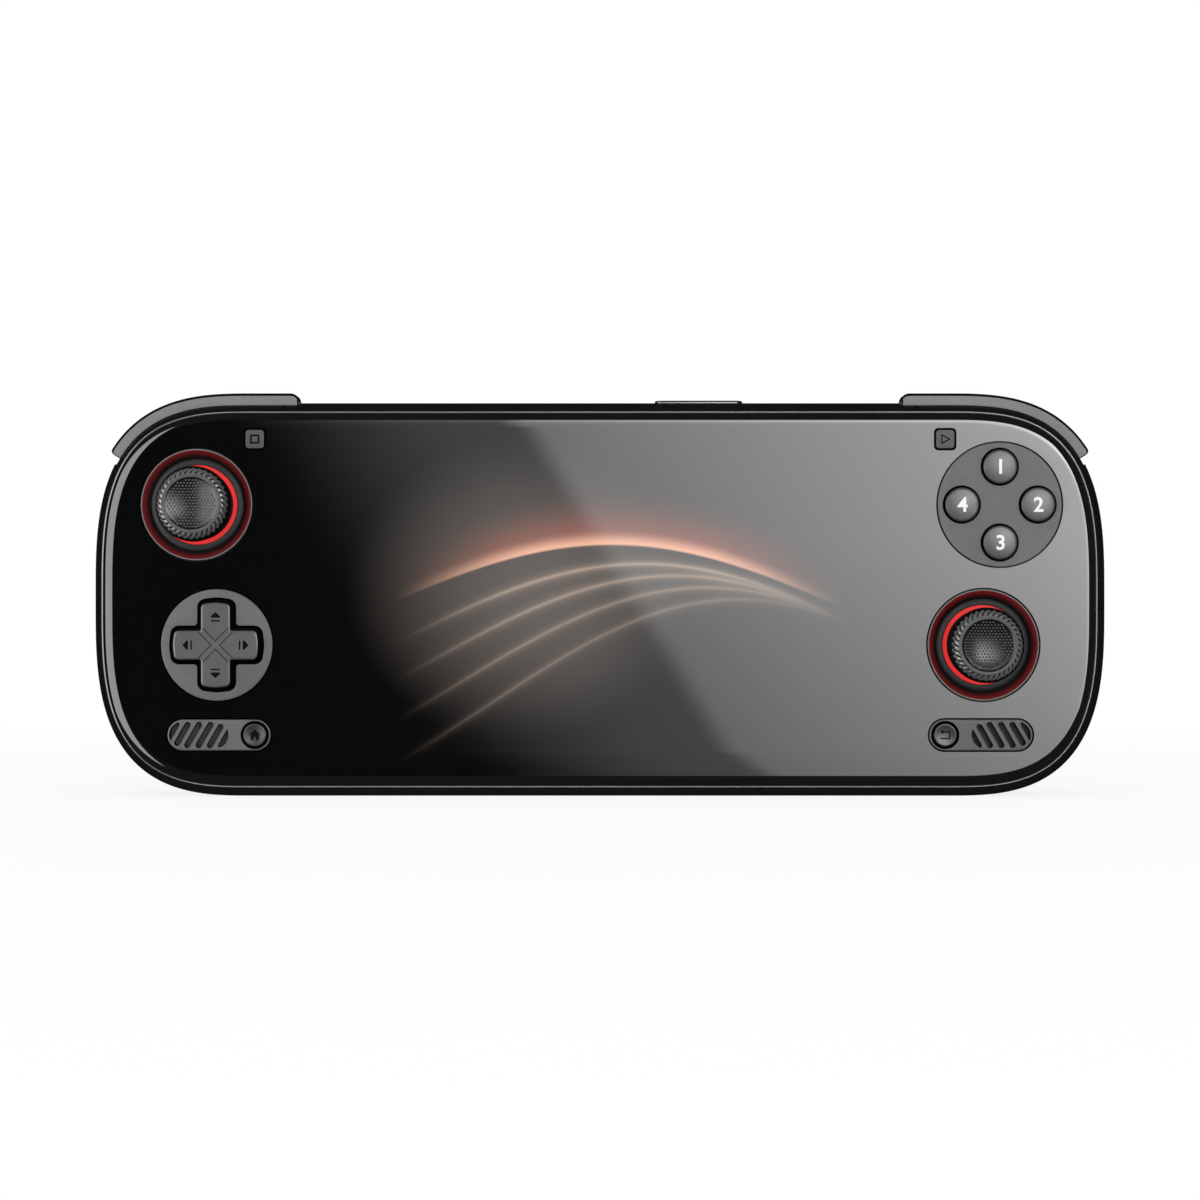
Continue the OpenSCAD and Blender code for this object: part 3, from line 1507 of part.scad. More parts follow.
module card_reader() {
  half = card_w / 2 + card_side_gap;
  z0 = wall_t + card_side_gap;
  color(c_steel) difference() {
    translate([card_x - half - card_shell, at(edge_d - card_slot_h / 2 - card_shell), z0])
      cube([2 * (half + card_shell), card_slot_h + 2 * card_shell, card_len]);
    translate([card_x - half, at(edge_d - card_slot_h / 2), z0 - over])
      cube([2 * half, card_slot_h, card_len - card_end_t + over]);
  }
}

mid_frame();
front_glass();
display_panel();
back_cover();
main_board();
io_board();
left_control_board();
right_control_board();
battery();
fan_housing();
fan_rotor();
heat_sink();
left_stick_collar();
right_stick_collar();
left_light_ring();
right_light_ring();
left_stick_base();
right_stick_base();
left_stick_carrier();
right_stick_carrier();
left_stick_yoke();
right_stick_yoke();
left_stick_stem();
right_stick_stem();
left_stick_cap();
right_stick_cap();
dpad_plate();
dpad_membrane();
dpad_ball();
dpad_cross();
face_button_plate();
face_button_membrane();
button_north();
button_east();
button_south();
button_west();
menu_button();
start_button();
left_speaker_plate();
right_speaker_plate();
left_speaker();
right_speaker();
home_button();
return_button();
left_bumper();
right_bumper();
bumper_pins();
left_trigger();
right_trigger();
trigger_pins();
volume_rocker();
power_button();
usb_port();
audio_jack();
card_reader();
back_screws();
board_screws();
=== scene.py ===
"""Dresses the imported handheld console: finer shells, moulded controls, finishes, light, camera."""

import logging
import math
from contextlib import contextmanager
from dataclasses import dataclass, field, replace
from enum import Enum
from typing import (
    Any, Callable, ClassVar, Dict, Iterable, Iterator, List, Optional, Sequence, Tuple, Union
)

import bmesh
import bpy
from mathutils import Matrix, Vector


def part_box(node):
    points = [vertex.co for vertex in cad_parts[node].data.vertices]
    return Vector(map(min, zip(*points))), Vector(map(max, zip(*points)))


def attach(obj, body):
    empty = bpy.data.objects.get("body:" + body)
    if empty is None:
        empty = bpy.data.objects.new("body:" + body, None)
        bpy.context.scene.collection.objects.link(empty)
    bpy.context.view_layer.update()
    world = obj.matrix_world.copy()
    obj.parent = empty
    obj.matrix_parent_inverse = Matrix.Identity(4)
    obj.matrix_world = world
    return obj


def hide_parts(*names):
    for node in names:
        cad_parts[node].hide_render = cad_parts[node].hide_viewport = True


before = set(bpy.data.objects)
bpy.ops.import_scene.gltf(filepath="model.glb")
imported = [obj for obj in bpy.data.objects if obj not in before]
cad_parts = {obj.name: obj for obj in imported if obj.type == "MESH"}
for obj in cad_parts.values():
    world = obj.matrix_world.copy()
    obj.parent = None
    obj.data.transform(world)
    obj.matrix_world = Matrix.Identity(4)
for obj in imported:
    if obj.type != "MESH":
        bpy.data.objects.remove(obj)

LOG = logging.getLogger("console")
MM = 0.001
# Edges sharper than this stay sharp, in degrees
SHARP = 38.0
# Radius at which a turned profile is closed, and what keeps the ends of a slot apart
PIN, SLIVER = 0.02, 0.01
FACE_WORDS = ("north", "east", "south", "west")
TURNS = [2 * math.pi * i / 96 for i in range(96)]

Point2 = Tuple[float, float]
Point3 = Tuple[float, float, float]
Loop = List[Point2]
Ring = List[Point3]
Level = Tuple[float, Loop]
Points = Tuple[Point2, ...]
Sizes = Tuple[float, ...]
Openings = Tuple[Tuple[str, float, float], ...]
Colour = Tuple[float, float, float]
Number = Union["Value", float]


class Side(Enum):
    """The two halves of the console, as the player holds it."""

    LEFT = -1
    RIGHT = 1

    @property
    def word(self) -> str:
        """Name of the side in node names."""
        return self.name.lower()

    def mirror(self, points: Iterable[Point2]) -> Loop:
        """Moves points of the right half to this side."""
        return [(self.value * x, z) for x, z in points]


class Ray(Enum):
    """Outputs of the Light Path node that the studio uses."""

    CAMERA = "Is Camera Ray"
    GLOSSY = "Is Glossy Ray"
    TRANSMISSION = "Is Transmission Ray"


def span(node: str) -> Tuple[Point3, Point3]:
    """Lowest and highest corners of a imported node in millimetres."""
    low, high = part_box(node)
    return tuple(v / MM for v in low), tuple(v / MM for v in high)


def middle(node: str) -> Point2:
    """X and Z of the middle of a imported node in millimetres."""
    low, high = span(node)
    return (low[0] + high[0]) / 2, (low[2] + high[2]) / 2


@dataclass(frozen=True)
class Layout:
    """Sizes of the console in millimetres, with depths measured back from the glass's face."""

    half_w: float
    top: float
    face_y: float
    corner_w: float = 33.0
    side_flat: float = 3.6
    corner_power: float = 2.9
    rim_w: float = 1.99
    rim_d: float = 0.55
    rim_round_d: float = 2.05
    chamfer_d: float = 0.18
    pocket_in: float = 2.13
    glass_in: float = 2.15
    glass_t: float = 1.1
    glass_edge_w: float = 2.3
    glass_edge_drop: float = 0.85
    ledge_in: float = 4.2
    wall: float = 3.4
    web_back: float = 3.9
    seam: float = 10.5
    seam_soft: Point2 = (0.15, 0.12)
    back: float = 14.0
    cover_in: float = 12.6
    cover_round: float = 5.0
    edge_d: float = 7.0
    button_r: float = 3.62
    button_rise: float = 0.3
    button_proud: float = 1.15
    cross_proud: float = 1.7
    square_proud: float = 0.2

    @classmethod
    def from_frame(cls) -> "Layout":
        """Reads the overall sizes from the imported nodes."""
        high = span("mid_frame")[1]
        return cls(half_w=high[0], top=high[2], face_y=span("front_glass")[0][1])

    @property
    def half_h(self) -> float:
        """Half the height of the body."""
        return self.top / 2

    def y(self, depth: float) -> float:
        """Y of a depth in the row frame."""
        return self.face_y + depth

    def corner(self, turn: float, inset: float) -> Point2:
        """Point of the upper right corner curve.

        Args:
            turn: 0 at the side and 90 at the top, in degrees.
            inset: Distance in along the curve's normal.

        Returns:
            X and Z.
        """
        corner_h = self.half_h - self.side_flat / 2
        angle = math.radians(turn)
        u = max(math.cos(angle), 0.0) ** (2 / self.corner_power)
        v = max(math.sin(angle), 0.0) ** (2 / self.corner_power)
        nx = u ** (self.corner_power - 1) / self.corner_w
        nz = v ** (self.corner_power - 1) / corner_h
        length = math.hypot(nx, nz)
        return (
            self.half_w - self.corner_w + self.corner_w * u - inset * nx / length,
            self.top - corner_h + corner_h * v - inset * nz / length,
        )

    def outline(self, inset: float, steps: int = 56) -> Loop:
        """Outline of the body.

        Args:
            inset: Distance in from the widest outline.
            steps: Steps in each corner.

        Returns:
            Points in X and Z, counted round once.
        """
        quarter = [self.corner(90 * i / steps, inset) for i in range(steps + 1)]
        upper = quarter + [(-x, z) for x, z in reversed(quarter)]
        return upper + [(-x, 2 * self.half_h - z) for x, z in upper]


def circle(centre: Point2, radius: float, steps: int = 64) -> Loop:
    """Round loop of a number of points about a middle."""
    angles = [i * (2 * math.pi / steps) for i in range(steps)]
    return [(centre[0] + radius * math.cos(a), centre[1] + radius * math.sin(a)) for a in angles]


def clipped(loop: Loop, border: Loop) -> Loop:
    """Part of a convex loop inside another, both going round the same way.

    Args:
        loop: The loop.
        border: The loop that bounds it.

    Returns:
        The part inside.
    """
    for k, (bx, bz) in enumerate(border):
        ax, az = border[k - 1]
        sides = [(bx - ax) * (z - az) - (bz - az) * (x - ax) for x, z in loop]
        kept: Loop = []
        for i, (x, z) in enumerate(loop):
            if (sides[i] >= 0) != (sides[i - 1] >= 0):
                share = sides[i - 1] / (sides[i - 1] - sides[i])
                px, pz = loop[i - 1]
                kept.append((px + (x - px) * share, pz + (z - pz) * share))
            if sides[i] >= 0:
                kept.append((x, z))
        loop = kept
    return loop


def round_rect(centre: Point2, w: float, h: float, r: float, steps: int = 8) -> Loop:
    """Rectangle with round corners.

    Args:
        centre: Its middle.
        w: Width.
        h: Height.
        r: Radius of its corners.
        steps: Steps in each corner.

    Returns:
        The loop.
    """
    loop: Loop = []
    for k, (sx, sz) in enumerate(((1, 1), (-1, 1), (-1, -1), (1, -1))):
        x, z = centre[0] + sx * (w / 2 - r), centre[1] + sz * (h / 2 - r)
        angles = [math.pi / 2 * (k + i / steps) for i in range(steps + 1)]
        loop += [(x + r * math.cos(a), z + r * math.sin(a)) for a in angles]
    return loop


def stadium(centre: Point2, w: float, h: float, steps: int = 8) -> Loop:
    """Slot with round ends, from its middle, its sizes and the steps in a quarter."""
    return round_rect(centre, w, h, min(w, h) / 2 - SLIVER, steps)


def rectangle(x0: float, z0: float, x1: float, z1: float) -> Loop:
    """Rectangle between two opposite corners."""
    return [(x0, z0), (x1, z0), (x1, z1), (x0, z1)]


def turned_loop(loop: Loop, centre: Point2, degrees: float) -> Loop:
    """Turns a loop about a point.

    Args:
        loop: The loop.
        centre: The point.
        degrees: The angle, counted from X to Z.

    Returns:
        The turned loop.
    """
    c, s = math.cos(math.radians(degrees)), math.sin(math.radians(degrees))
    return [
        (
            centre[0] + (x - centre[0]) * c - (z - centre[1]) * s,
            centre[1] + (x - centre[0]) * s + (z - centre[1]) * c,
        )
        for x, z in loop
    ]


def placed(points: Iterable[Point2], centre: Point2) -> Loop:
    """Moves points that are counted from a middle."""
    return [(centre[0] + x, centre[1] + z) for x, z in points]


def fillet(steps: int = 6) -> List[Point2]:
    """Drop and inset, both from 0 to 1, round a quarter of a circle from the flat to the side."""
    angles = [math.pi / 2 * i / steps for i in range(steps + 1)]
    return [(1 - math.cos(a), 1 - math.sin(a)) for a in angles]


def ball_radius(r: float, rise: float) -> float:
    """Radius of the ball that a dome or dish of this radius and rise is part of."""
    return (r * r + rise * rise) / (2 * rise)


def smooth_line(points: Sequence[Point2], steps: int) -> List[Point2]:
    """Rounds a line of points without leaving them.

    Args:
        points: The points.
        steps: Steps between two of them.

    Returns:
        The finer line.
    """

    def between(a: float, b: float, c: float, d: float, t: float) -> float:
        """Value at a share t of the way from b to c, on a curve through a, b, c and d."""
        square = (2 * a - 5 * b + 4 * c - d) * t * t
        return 0.5 * (2 * b + (c - a) * t + square + (3 * b - a - 3 * c + d) * t ** 3)

    line: List[Point2] = []
    count = len(points)
    for i in range(count - 1):
        near = [points[max(0, min(count - 1, i + k))] for k in (-1, 0, 1, 2)]
        for j in range(steps):
            line.append(tuple(between(*(p[k] for p in near), j / steps) for k in (0, 1)))
    line.append(points[-1])
    return line


@contextmanager
def editing(mesh: bpy.types.Mesh) -> Iterator[bmesh.types.BMesh]:
    """Opens a mesh for changes, and writes them back with its faces turned outwards.

    Args:
        mesh: The mesh.

    Yields:
        Its open form.
    """
    work = bmesh.new()
    work.from_mesh(mesh)
    yield work
    bmesh.ops.recalc_face_normals(work, faces=work.faces)
    work.to_mesh(mesh)
    work.free()


class Draft:
    """Points and faces of one piece in millimetres, in the row frame."""

    def __init__(self, layout: Layout) -> None:
        """Starts an empty draft for a layout."""
        self.layout = layout
        self.points: List[Point3] = []
        self.faces: List[Tuple[List[int], int]] = []

    def loft(
        self, rings: Sequence[Ring], marks: Optional[Sequence[int]] = None, closed: bool = False
    ) -> "Draft":
        """Skins a list of rings, and closes its open ends.

        Args:
            rings: The rings, of one length.
            marks: Material slot of each band, or None for the first slot.
            closed: Whether the last ring joins the first.

        Returns:
            The draft.
        """
        start, size, count = len(self.points), len(rings[0]), len(rings)
        slots = marks or [0] * count
        at = [list(range(start + k * size, start + (k + 1) * size)) for k in range(count)]
        for ring in rings:
            self.points.extend(ring)
        for k in range(count if closed else count - 1):
            a, b = at[k], at[(k + 1) % count]
            for i in range(size):
                j = (i + 1) % size
                self.faces.append(([a[i], a[j], b[j], b[i]], slots[k]))
        if not closed:
            self.faces.append((at[0][::-1], slots[0]))
            self.faces.append((at[-1], slots[-1]))
        return self

    def levels(
        self, loops: Sequence[Level], marks: Optional[Sequence[int]] = None, closed: bool = False
    ) -> "Draft":
        """Skins loops that each lie at one depth, with a material slot for each band."""
        rings = [[(x, self.layout.y(d), z) for x, z in loop] for d, loop in loops]
        return self.loft(rings, marks, closed)

    def prism(self, loop: Loop, front: float, back: float) -> "Draft":
        """Extrudes a loop between two depths."""
        return self.levels([(front, loop), (back, loop)])

    def lathe(
        self,
        centre: Point2,
        profile: Sequence[Point2],
        steps: int = 96,
        marks: Optional[Sequence[int]] = None,
    ) -> "Draft":
        """Turns a profile of radius and depth about an axis along the depth."""
        return self.levels([(d, circle(centre, max(r, PIN), steps)) for r, d in profile], marks)

    def upright(self, loops: Sequence[Level]) -> "Draft":
        """Skins loops in X and Y that each lie at one height."""
        return self.loft([[(x, y, z) for x, y in loop] for z, loop in loops])

    def build(
        self, name: str, finishes: Sequence["Finish"], angle: float = SHARP
    ) -> bpy.types.Object:
        """Makes the object.

        Args:
            name: Name of the piece.
            finishes: Its finishes, in the order of the marks.
            angle: Edges sharper than this stay sharp, in degrees.

        Returns:
            The object, at the origin and with its place in its mesh.
        """
        mesh = bpy.data.meshes.new(name)
        with editing(mesh) as work:
            verts = [work.verts.new((x * MM, y * MM, z * MM)) for x, y, z in self.points]
            for corners_at, mark in self.faces:
                face = work.faces.new([verts[i] for i in corners_at])
                face.material_index = mark
                face.smooth = True
        for finish in finishes:
            mesh.materials.append(finish.material())
        mesh.set_sharp_from_angle(angle=math.radians(angle))
        return linked(name, mesh)


def linked(name: str, data: bpy.types.ID) -> bpy.types.Object:
    """Makes an object of its data and puts it into the scene.

    Args:
        name: Name of the object.
        data: Its mesh, curve, lamp or camera.

    Returns:
        The object.
    """
    obj = bpy.data.objects.new(name, data)
    bpy.context.scene.collection.objects.link(obj)
    return obj


def evaluated_mesh(obj: bpy.types.Object) -> bpy.types.Mesh:
    """Mesh that an object's modifiers or text make."""
    bpy.context.view_layer.update()
    return bpy.data.meshes.new_from_object(
        obj.evaluated_get(bpy.context.evaluated_depsgraph_get())
    )


def settle(obj: bpy.types.Object, angle: float = SHARP) -> None:
    """Keeps what an object's modifiers make as its mesh, and removes them.

    Args:
        obj: The object.
        angle: Edges sharper than this stay sharp, in degrees.
    """
    made = evaluated_mesh(obj)
    obj.modifiers.clear()
    obj.data = made
    made.polygons.foreach_set("use_smooth", [True] * len(made.polygons))
    made.set_sharp_from_angle(angle=math.radians(angle))


def carve(
    obj: bpy.types.Object, cutters: Sequence[bpy.types.Object], angle: float = SHARP
) -> None:
    """Cuts shapes out of a piece.

    Args:
        obj: The piece.
        cutters: The shapes, which are removed.
        angle: Edges sharper than this stay sharp, in degrees.
    """
    for cutter in cutters:
        step = obj.modifiers.new(cutter.name, "BOOLEAN")
        step.operation = "DIFFERENCE"
        step.solver = "EXACT"
        step.object = cutter
    settle(obj, angle)
    for cutter in cutters:
        mesh = cutter.data
        bpy.data.objects.remove(cutter)
        bpy.data.meshes.remove(mesh)


class Value:
    """Output of a node, which takes part in sums like a number."""

    def __init__(self, graph: "Graph", socket: bpy.types.NodeSocket) -> None:
        """Wraps an output of a node tree."""
        self.graph = graph
        self.socket = socket

    def math(self, operation: str, *others: Number) -> "Value":
        """Adds a Math node with this value as its first input."""
        return self.graph.math(operation, self, *others)

    def __add__(self, other: Number) -> "Value":
        """Sum."""
        return self.math("ADD", other)

    __radd__ = __add__

    def __sub__(self, other: Number) -> "Value":
        """Difference."""
        return self.math("SUBTRACT", other)

    def __rsub__(self, other: Number) -> "Value":
        """Difference with this value taken away."""
        return self.graph.math("SUBTRACT", other, self)

    def __mul__(self, other: Number) -> "Value":
        """Product."""
        return self.math("MULTIPLY", other)

    __rmul__ = __mul__

    def __truediv__(self, other: Number) -> "Value":
        """Quotient."""
        return self.math("DIVIDE", other)

    def __rtruediv__(self, other: Number) -> "Value":
        """Quotient with this value below."""
        return self.graph.math("DIVIDE", other, self)

    def __pow__(self, other: Number) -> "Value":
        """Power."""
        return self.math("POWER", other)

    def __abs__(self) -> "Value":
        """Size without sign."""
        return self.math("ABSOLUTE")

    def sin(self) -> "Value":
        """Sine of radians."""
        return self.math("SINE")

    def root(self) -> "Value":
        """Square root."""
        return self.math("SQRT")

    def least(self, other: Number) -> "Value":
        """Smaller of two."""
        return self.math("MINIMUM", other)

    def most(self, other: Number) -> "Value":
        """Larger of two."""
        return self.math("MAXIMUM", other)

    def ramp(self, low: float, high: float) -> "Value":
        """Smooth step, 0 at the first and 1 at the second."""
        limits = {0: self, 1: low, 2: high, 3: 0.0, 4: 1.0}
        return self.graph.out("ShaderNodeMapRange", limits, interpolation_type="SMOOTHSTEP")


class Graph:
    """Node tree of one material, world or Geometry Nodes group."""

    def __init__(self, tree: bpy.types.NodeTree) -> None:
        """Starts with an empty tree."""
        self.tree = tree
        tree.nodes.clear()

    def node(
        self, kind: str, inputs: Optional[Dict[Any, Any]] = None, **settings: Any
    ) -> bpy.types.Node:
        """Adds a node.

        Args:
            kind: Its type.
            inputs: Values or links for its inputs, by name or number.
            settings: Its properties.

        Returns:
            The node.
        """
        made = self.tree.nodes.new(kind)
        for key, value in settings.items():
            setattr(made, key, value)
        for key, value in (inputs or {}).items():
            self.feed(made.inputs[key], value)
        return made

    def out(self, kind: str, inputs: Optional[Dict[Any, Any]] = None, **settings: Any) -> Value:
        """Adds a node and gives its first output."""
        return Value(self, self.node(kind, inputs, **settings).outputs[0])

    def feed(self, socket: bpy.types.NodeSocket, value: Any) -> None:
        """Sets or links an input.

        Args:
            socket: The input.
            value: A Value, an output, a number or a colour.
        """
        if isinstance(value, Value):
            self.tree.links.new(value.socket, socket)
        elif isinstance(value, bpy.types.NodeSocket):
            self.tree.links.new(value, socket)
        elif isinstance(value, tuple) and socket.type == "RGBA":
            socket.default_value = (*value, 1.0)
        else:
            socket.default_value = value

    def math(self, operation: str, *values: Number) -> Value:
        """Adds a Math node."""
        return self.out("ShaderNodeMath", dict(enumerate(values)), operation=operation)

    def scale(self, vector: Any, amount: Number) -> Value:
        """Multiplies a colour or vector by a number."""
        return self.out("ShaderNodeVectorMath", {0: vector, "Scale": amount}, operation="SCALE")

    def add(self, a: Any, b: Any) -> Value:
        """Adds two colours or vectors."""
        return self.out("ShaderNodeVectorMath", {0: a, 1: b}, operation="ADD")

    def object_place(self) -> bpy.types.NodeSocket:
        """Place on the object at rest, in metres."""
        return self.node("ShaderNodeTexCoord").outputs["Object"]

    def place(self) -> Tuple[Value, Value, Value]:
        """Place on the object at rest, as X, Y and Z in millimetres."""
        parts = self.node("ShaderNodeSeparateXYZ", {0: self.scale(self.object_place(), 1 / MM)})
        return tuple(Value(self, part) for part in parts.outputs)

    def ray(self, kind: Ray) -> Value:
        """Whether a ray is of a kind."""
        return Value(self, self.node("ShaderNodeLightPath").outputs[kind.value])

    def radius(self, centre: Point2) -> Value:
        """Distance in millimetres from an axis along the depth.

        Args:
            centre: X and Z of the axis.

        Returns:
            The distance.
        """
        x, _, z = self.place()
        dx, dz = x - centre[0], z - centre[1]
        return (dx * dx + dz * dz).root()

    def noise(
        self, size: float, detail: float = 3.0, stretch: Point3 = (1.0, 1.0, 1.0)
    ) -> Value:
        """Soft noise on the object.

        Args:
            size: Size of its patches in millimetres.
            detail: Octaves.
            stretch: Scale along each axis.

        Returns:
            The noise, around 0.5.
        """
        where = {0: self.object_place(), 1: stretch}
        scaled = self.out("ShaderNodeVectorMath", where, operation="MULTIPLY")
        inputs = {"Vector": scaled, "Scale": 1 / (size * MM), "Detail": detail}
        return self.out("ShaderNodeTexNoise", inputs)

    def blend(self, factor: Number, a: Any, b: Any) -> Value:
        """Mixes two colours.

        Args:
            factor: Share of the second.
            a: The first colour.
            b: The second colour.

        Returns:
            The mixture.
        """
        made = self.node("ShaderNodeMix", data_type="RGBA")
        for number, value in ((0, factor), (6, a), (7, b)):
            self.feed(made.inputs[number], value)
        return Value(self, made.outputs[2])

    def bump(self, height: Value, strength: float, reach: float) -> Value:
        """Normal of a bump, from its height, its strength and its reach in millimetres."""
        inputs = {"Height": height, "Strength": strength, "Distance": reach * MM}
        return self.out("ShaderNodeBump", inputs)

    def emission(self, strength: Number) -> Value:
        """Shader of white light."""
        return self.out("ShaderNodeEmission", {"Color": (1.0, 1.0, 1.0), "Strength": strength})

    def end(self, shader: Value) -> None:
        """Ends a material's tree in a shader."""
        self.node("ShaderNodeOutputMaterial", {"Surface": shader})

    def surface(self, **inputs: Any) -> None:
        """Ends the tree in a Principled shader, whose inputs have underscores for spaces."""
        named = {key.replace("_", " "): value for key, value in inputs.items()}
        self.end(self.out("ShaderNodeBsdfPrincipled", named))


def drawn_material(name: str, draw: Callable[[Graph], None]) -> bpy.types.Material:
    """Makes a material whose node tree a function draws.

    Args:
        name: Name of the material.
        draw: The function.

    Returns:
        The material.
    """
    made = bpy.data.materials.new(name)
    made.use_nodes = True
    draw(Graph(made.node_tree))
    return made


def shade(colour: Colour, factor: float) -> Colour:
    """Makes a colour darker or lighter."""
    return tuple(c * factor for c in colour)


def grey(level: float, blue: Optional[float] = None) -> Colour:
    """Neutral colour, or one with its own share of blue."""
    return level, level, level if blue is None else blue


@dataclass(frozen=True)
class Finish:
    """A finish that makes one material."""

    name: str

    def material(self) -> bpy.types.Material:
        """Makes the material, or finds it.

        Returns:
            The material.
        """
        found = bpy.data.materials.get(self.name)
        if found is not None and found.get("finish") == self.name:
            return found
        made = drawn_material(self.name, self.draw)
        made["finish"] = self.name
        return made

    def draw(self, graph: Graph) -> None:
        """Draws the node tree."""
        raise NotImplementedError


@dataclass(frozen=True)
class Moulded(Finish):
    """Moulded plastic or rubber with a fine grain, and painted black shade behind a face where that
    is given.
    """

    colour: Colour = grey(0.1)
    roughness: float = 0.5
    grain: float = 0.16
    grain_depth: float = 0.012
    grain_strength: float = 0.5
    gloss: float = 0.5
    # Y of a face behind which the sides are painted black as shade
    face: Optional[float] = None
    variation: ClassVar[float] = 0.12
    cloud: ClassVar[float] = 9.0
    # Depths behind the face over which the painted black shade fades in
    wall: ClassVar[Point2] = (0.15, 0.4)

    def draw(self, graph: Graph) -> None:
        """Draws grain, soft colour changes, uneven gloss and painted black shade behind a face.

        Args:
            graph: The tree.
        """
        grain = graph.noise(self.grain, 2.0)
        patches = (grain * 0.5 + graph.noise(self.cloud) * 0.5).ramp(0.3, 0.7)
        limits = [shade(self.colour, 1 + sign * self.variation) for sign in (-1, 1)]
        colour = graph.blend(patches, *limits)
        # Painted shade: the sides behind the face go black
        if self.face is not None:
            below = graph.place()[1].ramp(self.face + self.wall[0], self.face + self.wall[1])
            colour = graph.blend(below, colour, grey(0.002))
        graph.surface(
            Base_Color=colour,
            Roughness=self.roughness - 0.06 + grain * 0.12,
            Specular_IOR_Level=self.gloss,
            Normal=graph.bump(grain, self.grain_strength, self.grain_depth),
        )


@dataclass(frozen=True)
class Metal(Finish):
    """Satin or polished metal with fine lines along one axis."""

    colour: Colour = grey(0.5)
    roughness: float = 0.3
    lines: float = 0.15
    edge: float = 1.0
    stretch: ClassVar[Point3] = (1.0, 12.0, 1.0)

    def draw(self, graph: Graph) -> None:
        """Draws fine lines in gloss and colour.

        Args:
            graph: The tree.
        """
        lines = graph.noise(0.8, 4.0, self.stretch)
        patches = (lines * 0.6 + graph.noise(14.0, 2.0) * 0.4).ramp(0.3, 0.7)
        limits = [shade(self.colour, 1 + sign * self.lines) for sign in (-1, 1)]
        graph.surface(
            Base_Color=graph.blend(patches, *limits),
            Roughness=self.roughness - 0.05 + lines * 0.1,
            Metallic=1.0,
            Specular_Tint=grey(self.edge),
        )


@dataclass(frozen=True)
class CutEdge(Finish):
    """Fine cut along the frame: partly the bare metal and partly a painted highlight, with painted
    shade along its left end.
    """

    # Pale colour, partly the bare cut metal and partly a painted highlight
    colour: Colour = grey(0.72, 0.73)
    # Colour of the painted shade
    shade_colour: Colour = grey(0.012, 0.013)
    # X about which the painted shade turns into the painted highlight, and the width of the change
    turn_x: float = -92.0
    turn_w: float = 10.0

    def draw(self, graph: Graph) -> None:
        """Draws the cut with soft changes along it, and painted shade at the left.

        Args:
            graph: The tree.
        """
        lines = graph.noise(18.0)
        # Painted shade along the left end of the frame, painted highlight elsewhere
        highlight_share = graph.place()[0].ramp(self.turn_x - self.turn_w, self.turn_x + self.turn_w)
        graph.surface(
            Base_Color=graph.blend(highlight_share * (0.9 + lines * 0.2), self.shade_colour, self.colour),
            Roughness=0.4 + lines * 0.1,
            Specular_IOR_Level=0.3,
        )


@dataclass(frozen=True)
class Ink(Finish):
    """Flat mark with a slightly uneven gloss, used for print and for the painted shade of
    engravings, with a painted glow of a given strength.
    """

    colour: Colour = grey(0.8)
    # Strength of a painted glow on the ink
    light: float = 0.0
    gloss: float = 0.1

    def draw(self, graph: Graph) -> None:
        """Draws even ink.

        Args:
            graph: The tree.
        """
        grain = graph.noise(0.1, 2.0)
        graph.surface(
            Base_Color=graph.blend(grain, shade(self.colour, 0.94), self.colour),
            Roughness=0.45 + grain * 0.15,
            Specular_IOR_Level=self.gloss,
            Emission_Color=self.colour,
            Emission_Strength=self.light,
        )


@dataclass(frozen=True)
class LitRing(Finish):
    """Red light guide, lit near the outer edge of its face."""

    centre: Point2 = (0.0, 0.0)
    colour: Colour = (0.75, 0.027, 0.027)
    lit_r: float = 7.52
    soft: float = 0.08

    def draw(self, graph: Graph) -> None:
        """Draws the light with slow changes round the ring.

        Args:
            graph: The tree.
        """
        cloud = graph.noise(7.0, 1.0)
        lit = graph.radius(self.centre).ramp(self.lit_r - self.soft, self.lit_r + self.soft)
        light = graph.blend(cloud.ramp(0.3, 0.7), shade(self.colour, 0.85), self.colour)
        graph.surface(
            Base_Color=graph.blend(lit, (0.004, 0.001, 0.001), (0.1, 0.004, 0.004)),
            Roughness=0.4 + cloud * 0.1,
            Specular_IOR_Level=0.2,
            Emission_Color=graph.blend(lit, grey(0.0), light),
            Emission_Strength=1.0,
        )


@dataclass(frozen=True)
class Bowl(Finish):
    """Collar of a stick, with a painted red glow near its outer edge and painted shade inward."""

    centre: Point2 = (0.0, 0.0)
    edge: float = 11.75
    # Insets from the edge where each band starts and ends: pale line, painted red glow, grey lip,
    # painted shade inside the lip, painted shade at the outer edge
    line_in: Point2 = (0.28, 0.22)
    glow_in: Point2 = (1.95, 0.4)
    lip_in: Point2 = (3.3, 1.9)
    shade_floor_in: Point2 = (3.35, 3.2)
    shade_gap_in: Point2 = (0.04, 0.01)
    # Colour of the painted red glow
    red: Colour = (0.11, 0.004, 0.005)

    def draw(self, graph: Graph) -> None:
        """Draws a pale outer line, a band of painted red glow, a grey inner lip with painted shade,
        and painted black at the inner and outer edges.

        Args:
            graph: The tree.
        """
        radius = graph.radius(self.centre)
        bands = (self.line_in, self.glow_in, self.lip_in, self.shade_floor_in, self.shade_gap_in)
        line, red, lip, floor, shade_gap = (
            radius.ramp(self.edge - start, self.edge - end) for start, end in bands
        )
        grain = graph.noise(0.16, 2.0)
        # Painted light and shade: a grey lip at the inner edge that fades to black outward, and
        # black inside it
        base = graph.blend((1.0 - lip) ** 1.2 * floor, grey(0.004), grey(0.065, 0.066))
        base = graph.blend(line, base, grey(0.16))
        graph.surface(
            # Painted shade: black at the outer edge
            Base_Color=graph.blend(shade_gap, base, grey(0.002)),
            Roughness=0.42 + grain * 0.12,
            Specular_IOR_Level=0.2,
            # Painted red glow on the collar
            Emission_Color=graph.scale(self.red, red ** 1.6 * (1.0 - line)),
            Emission_Strength=1.0,
            Normal=graph.bump(grain, 0.3, 0.01),
        )


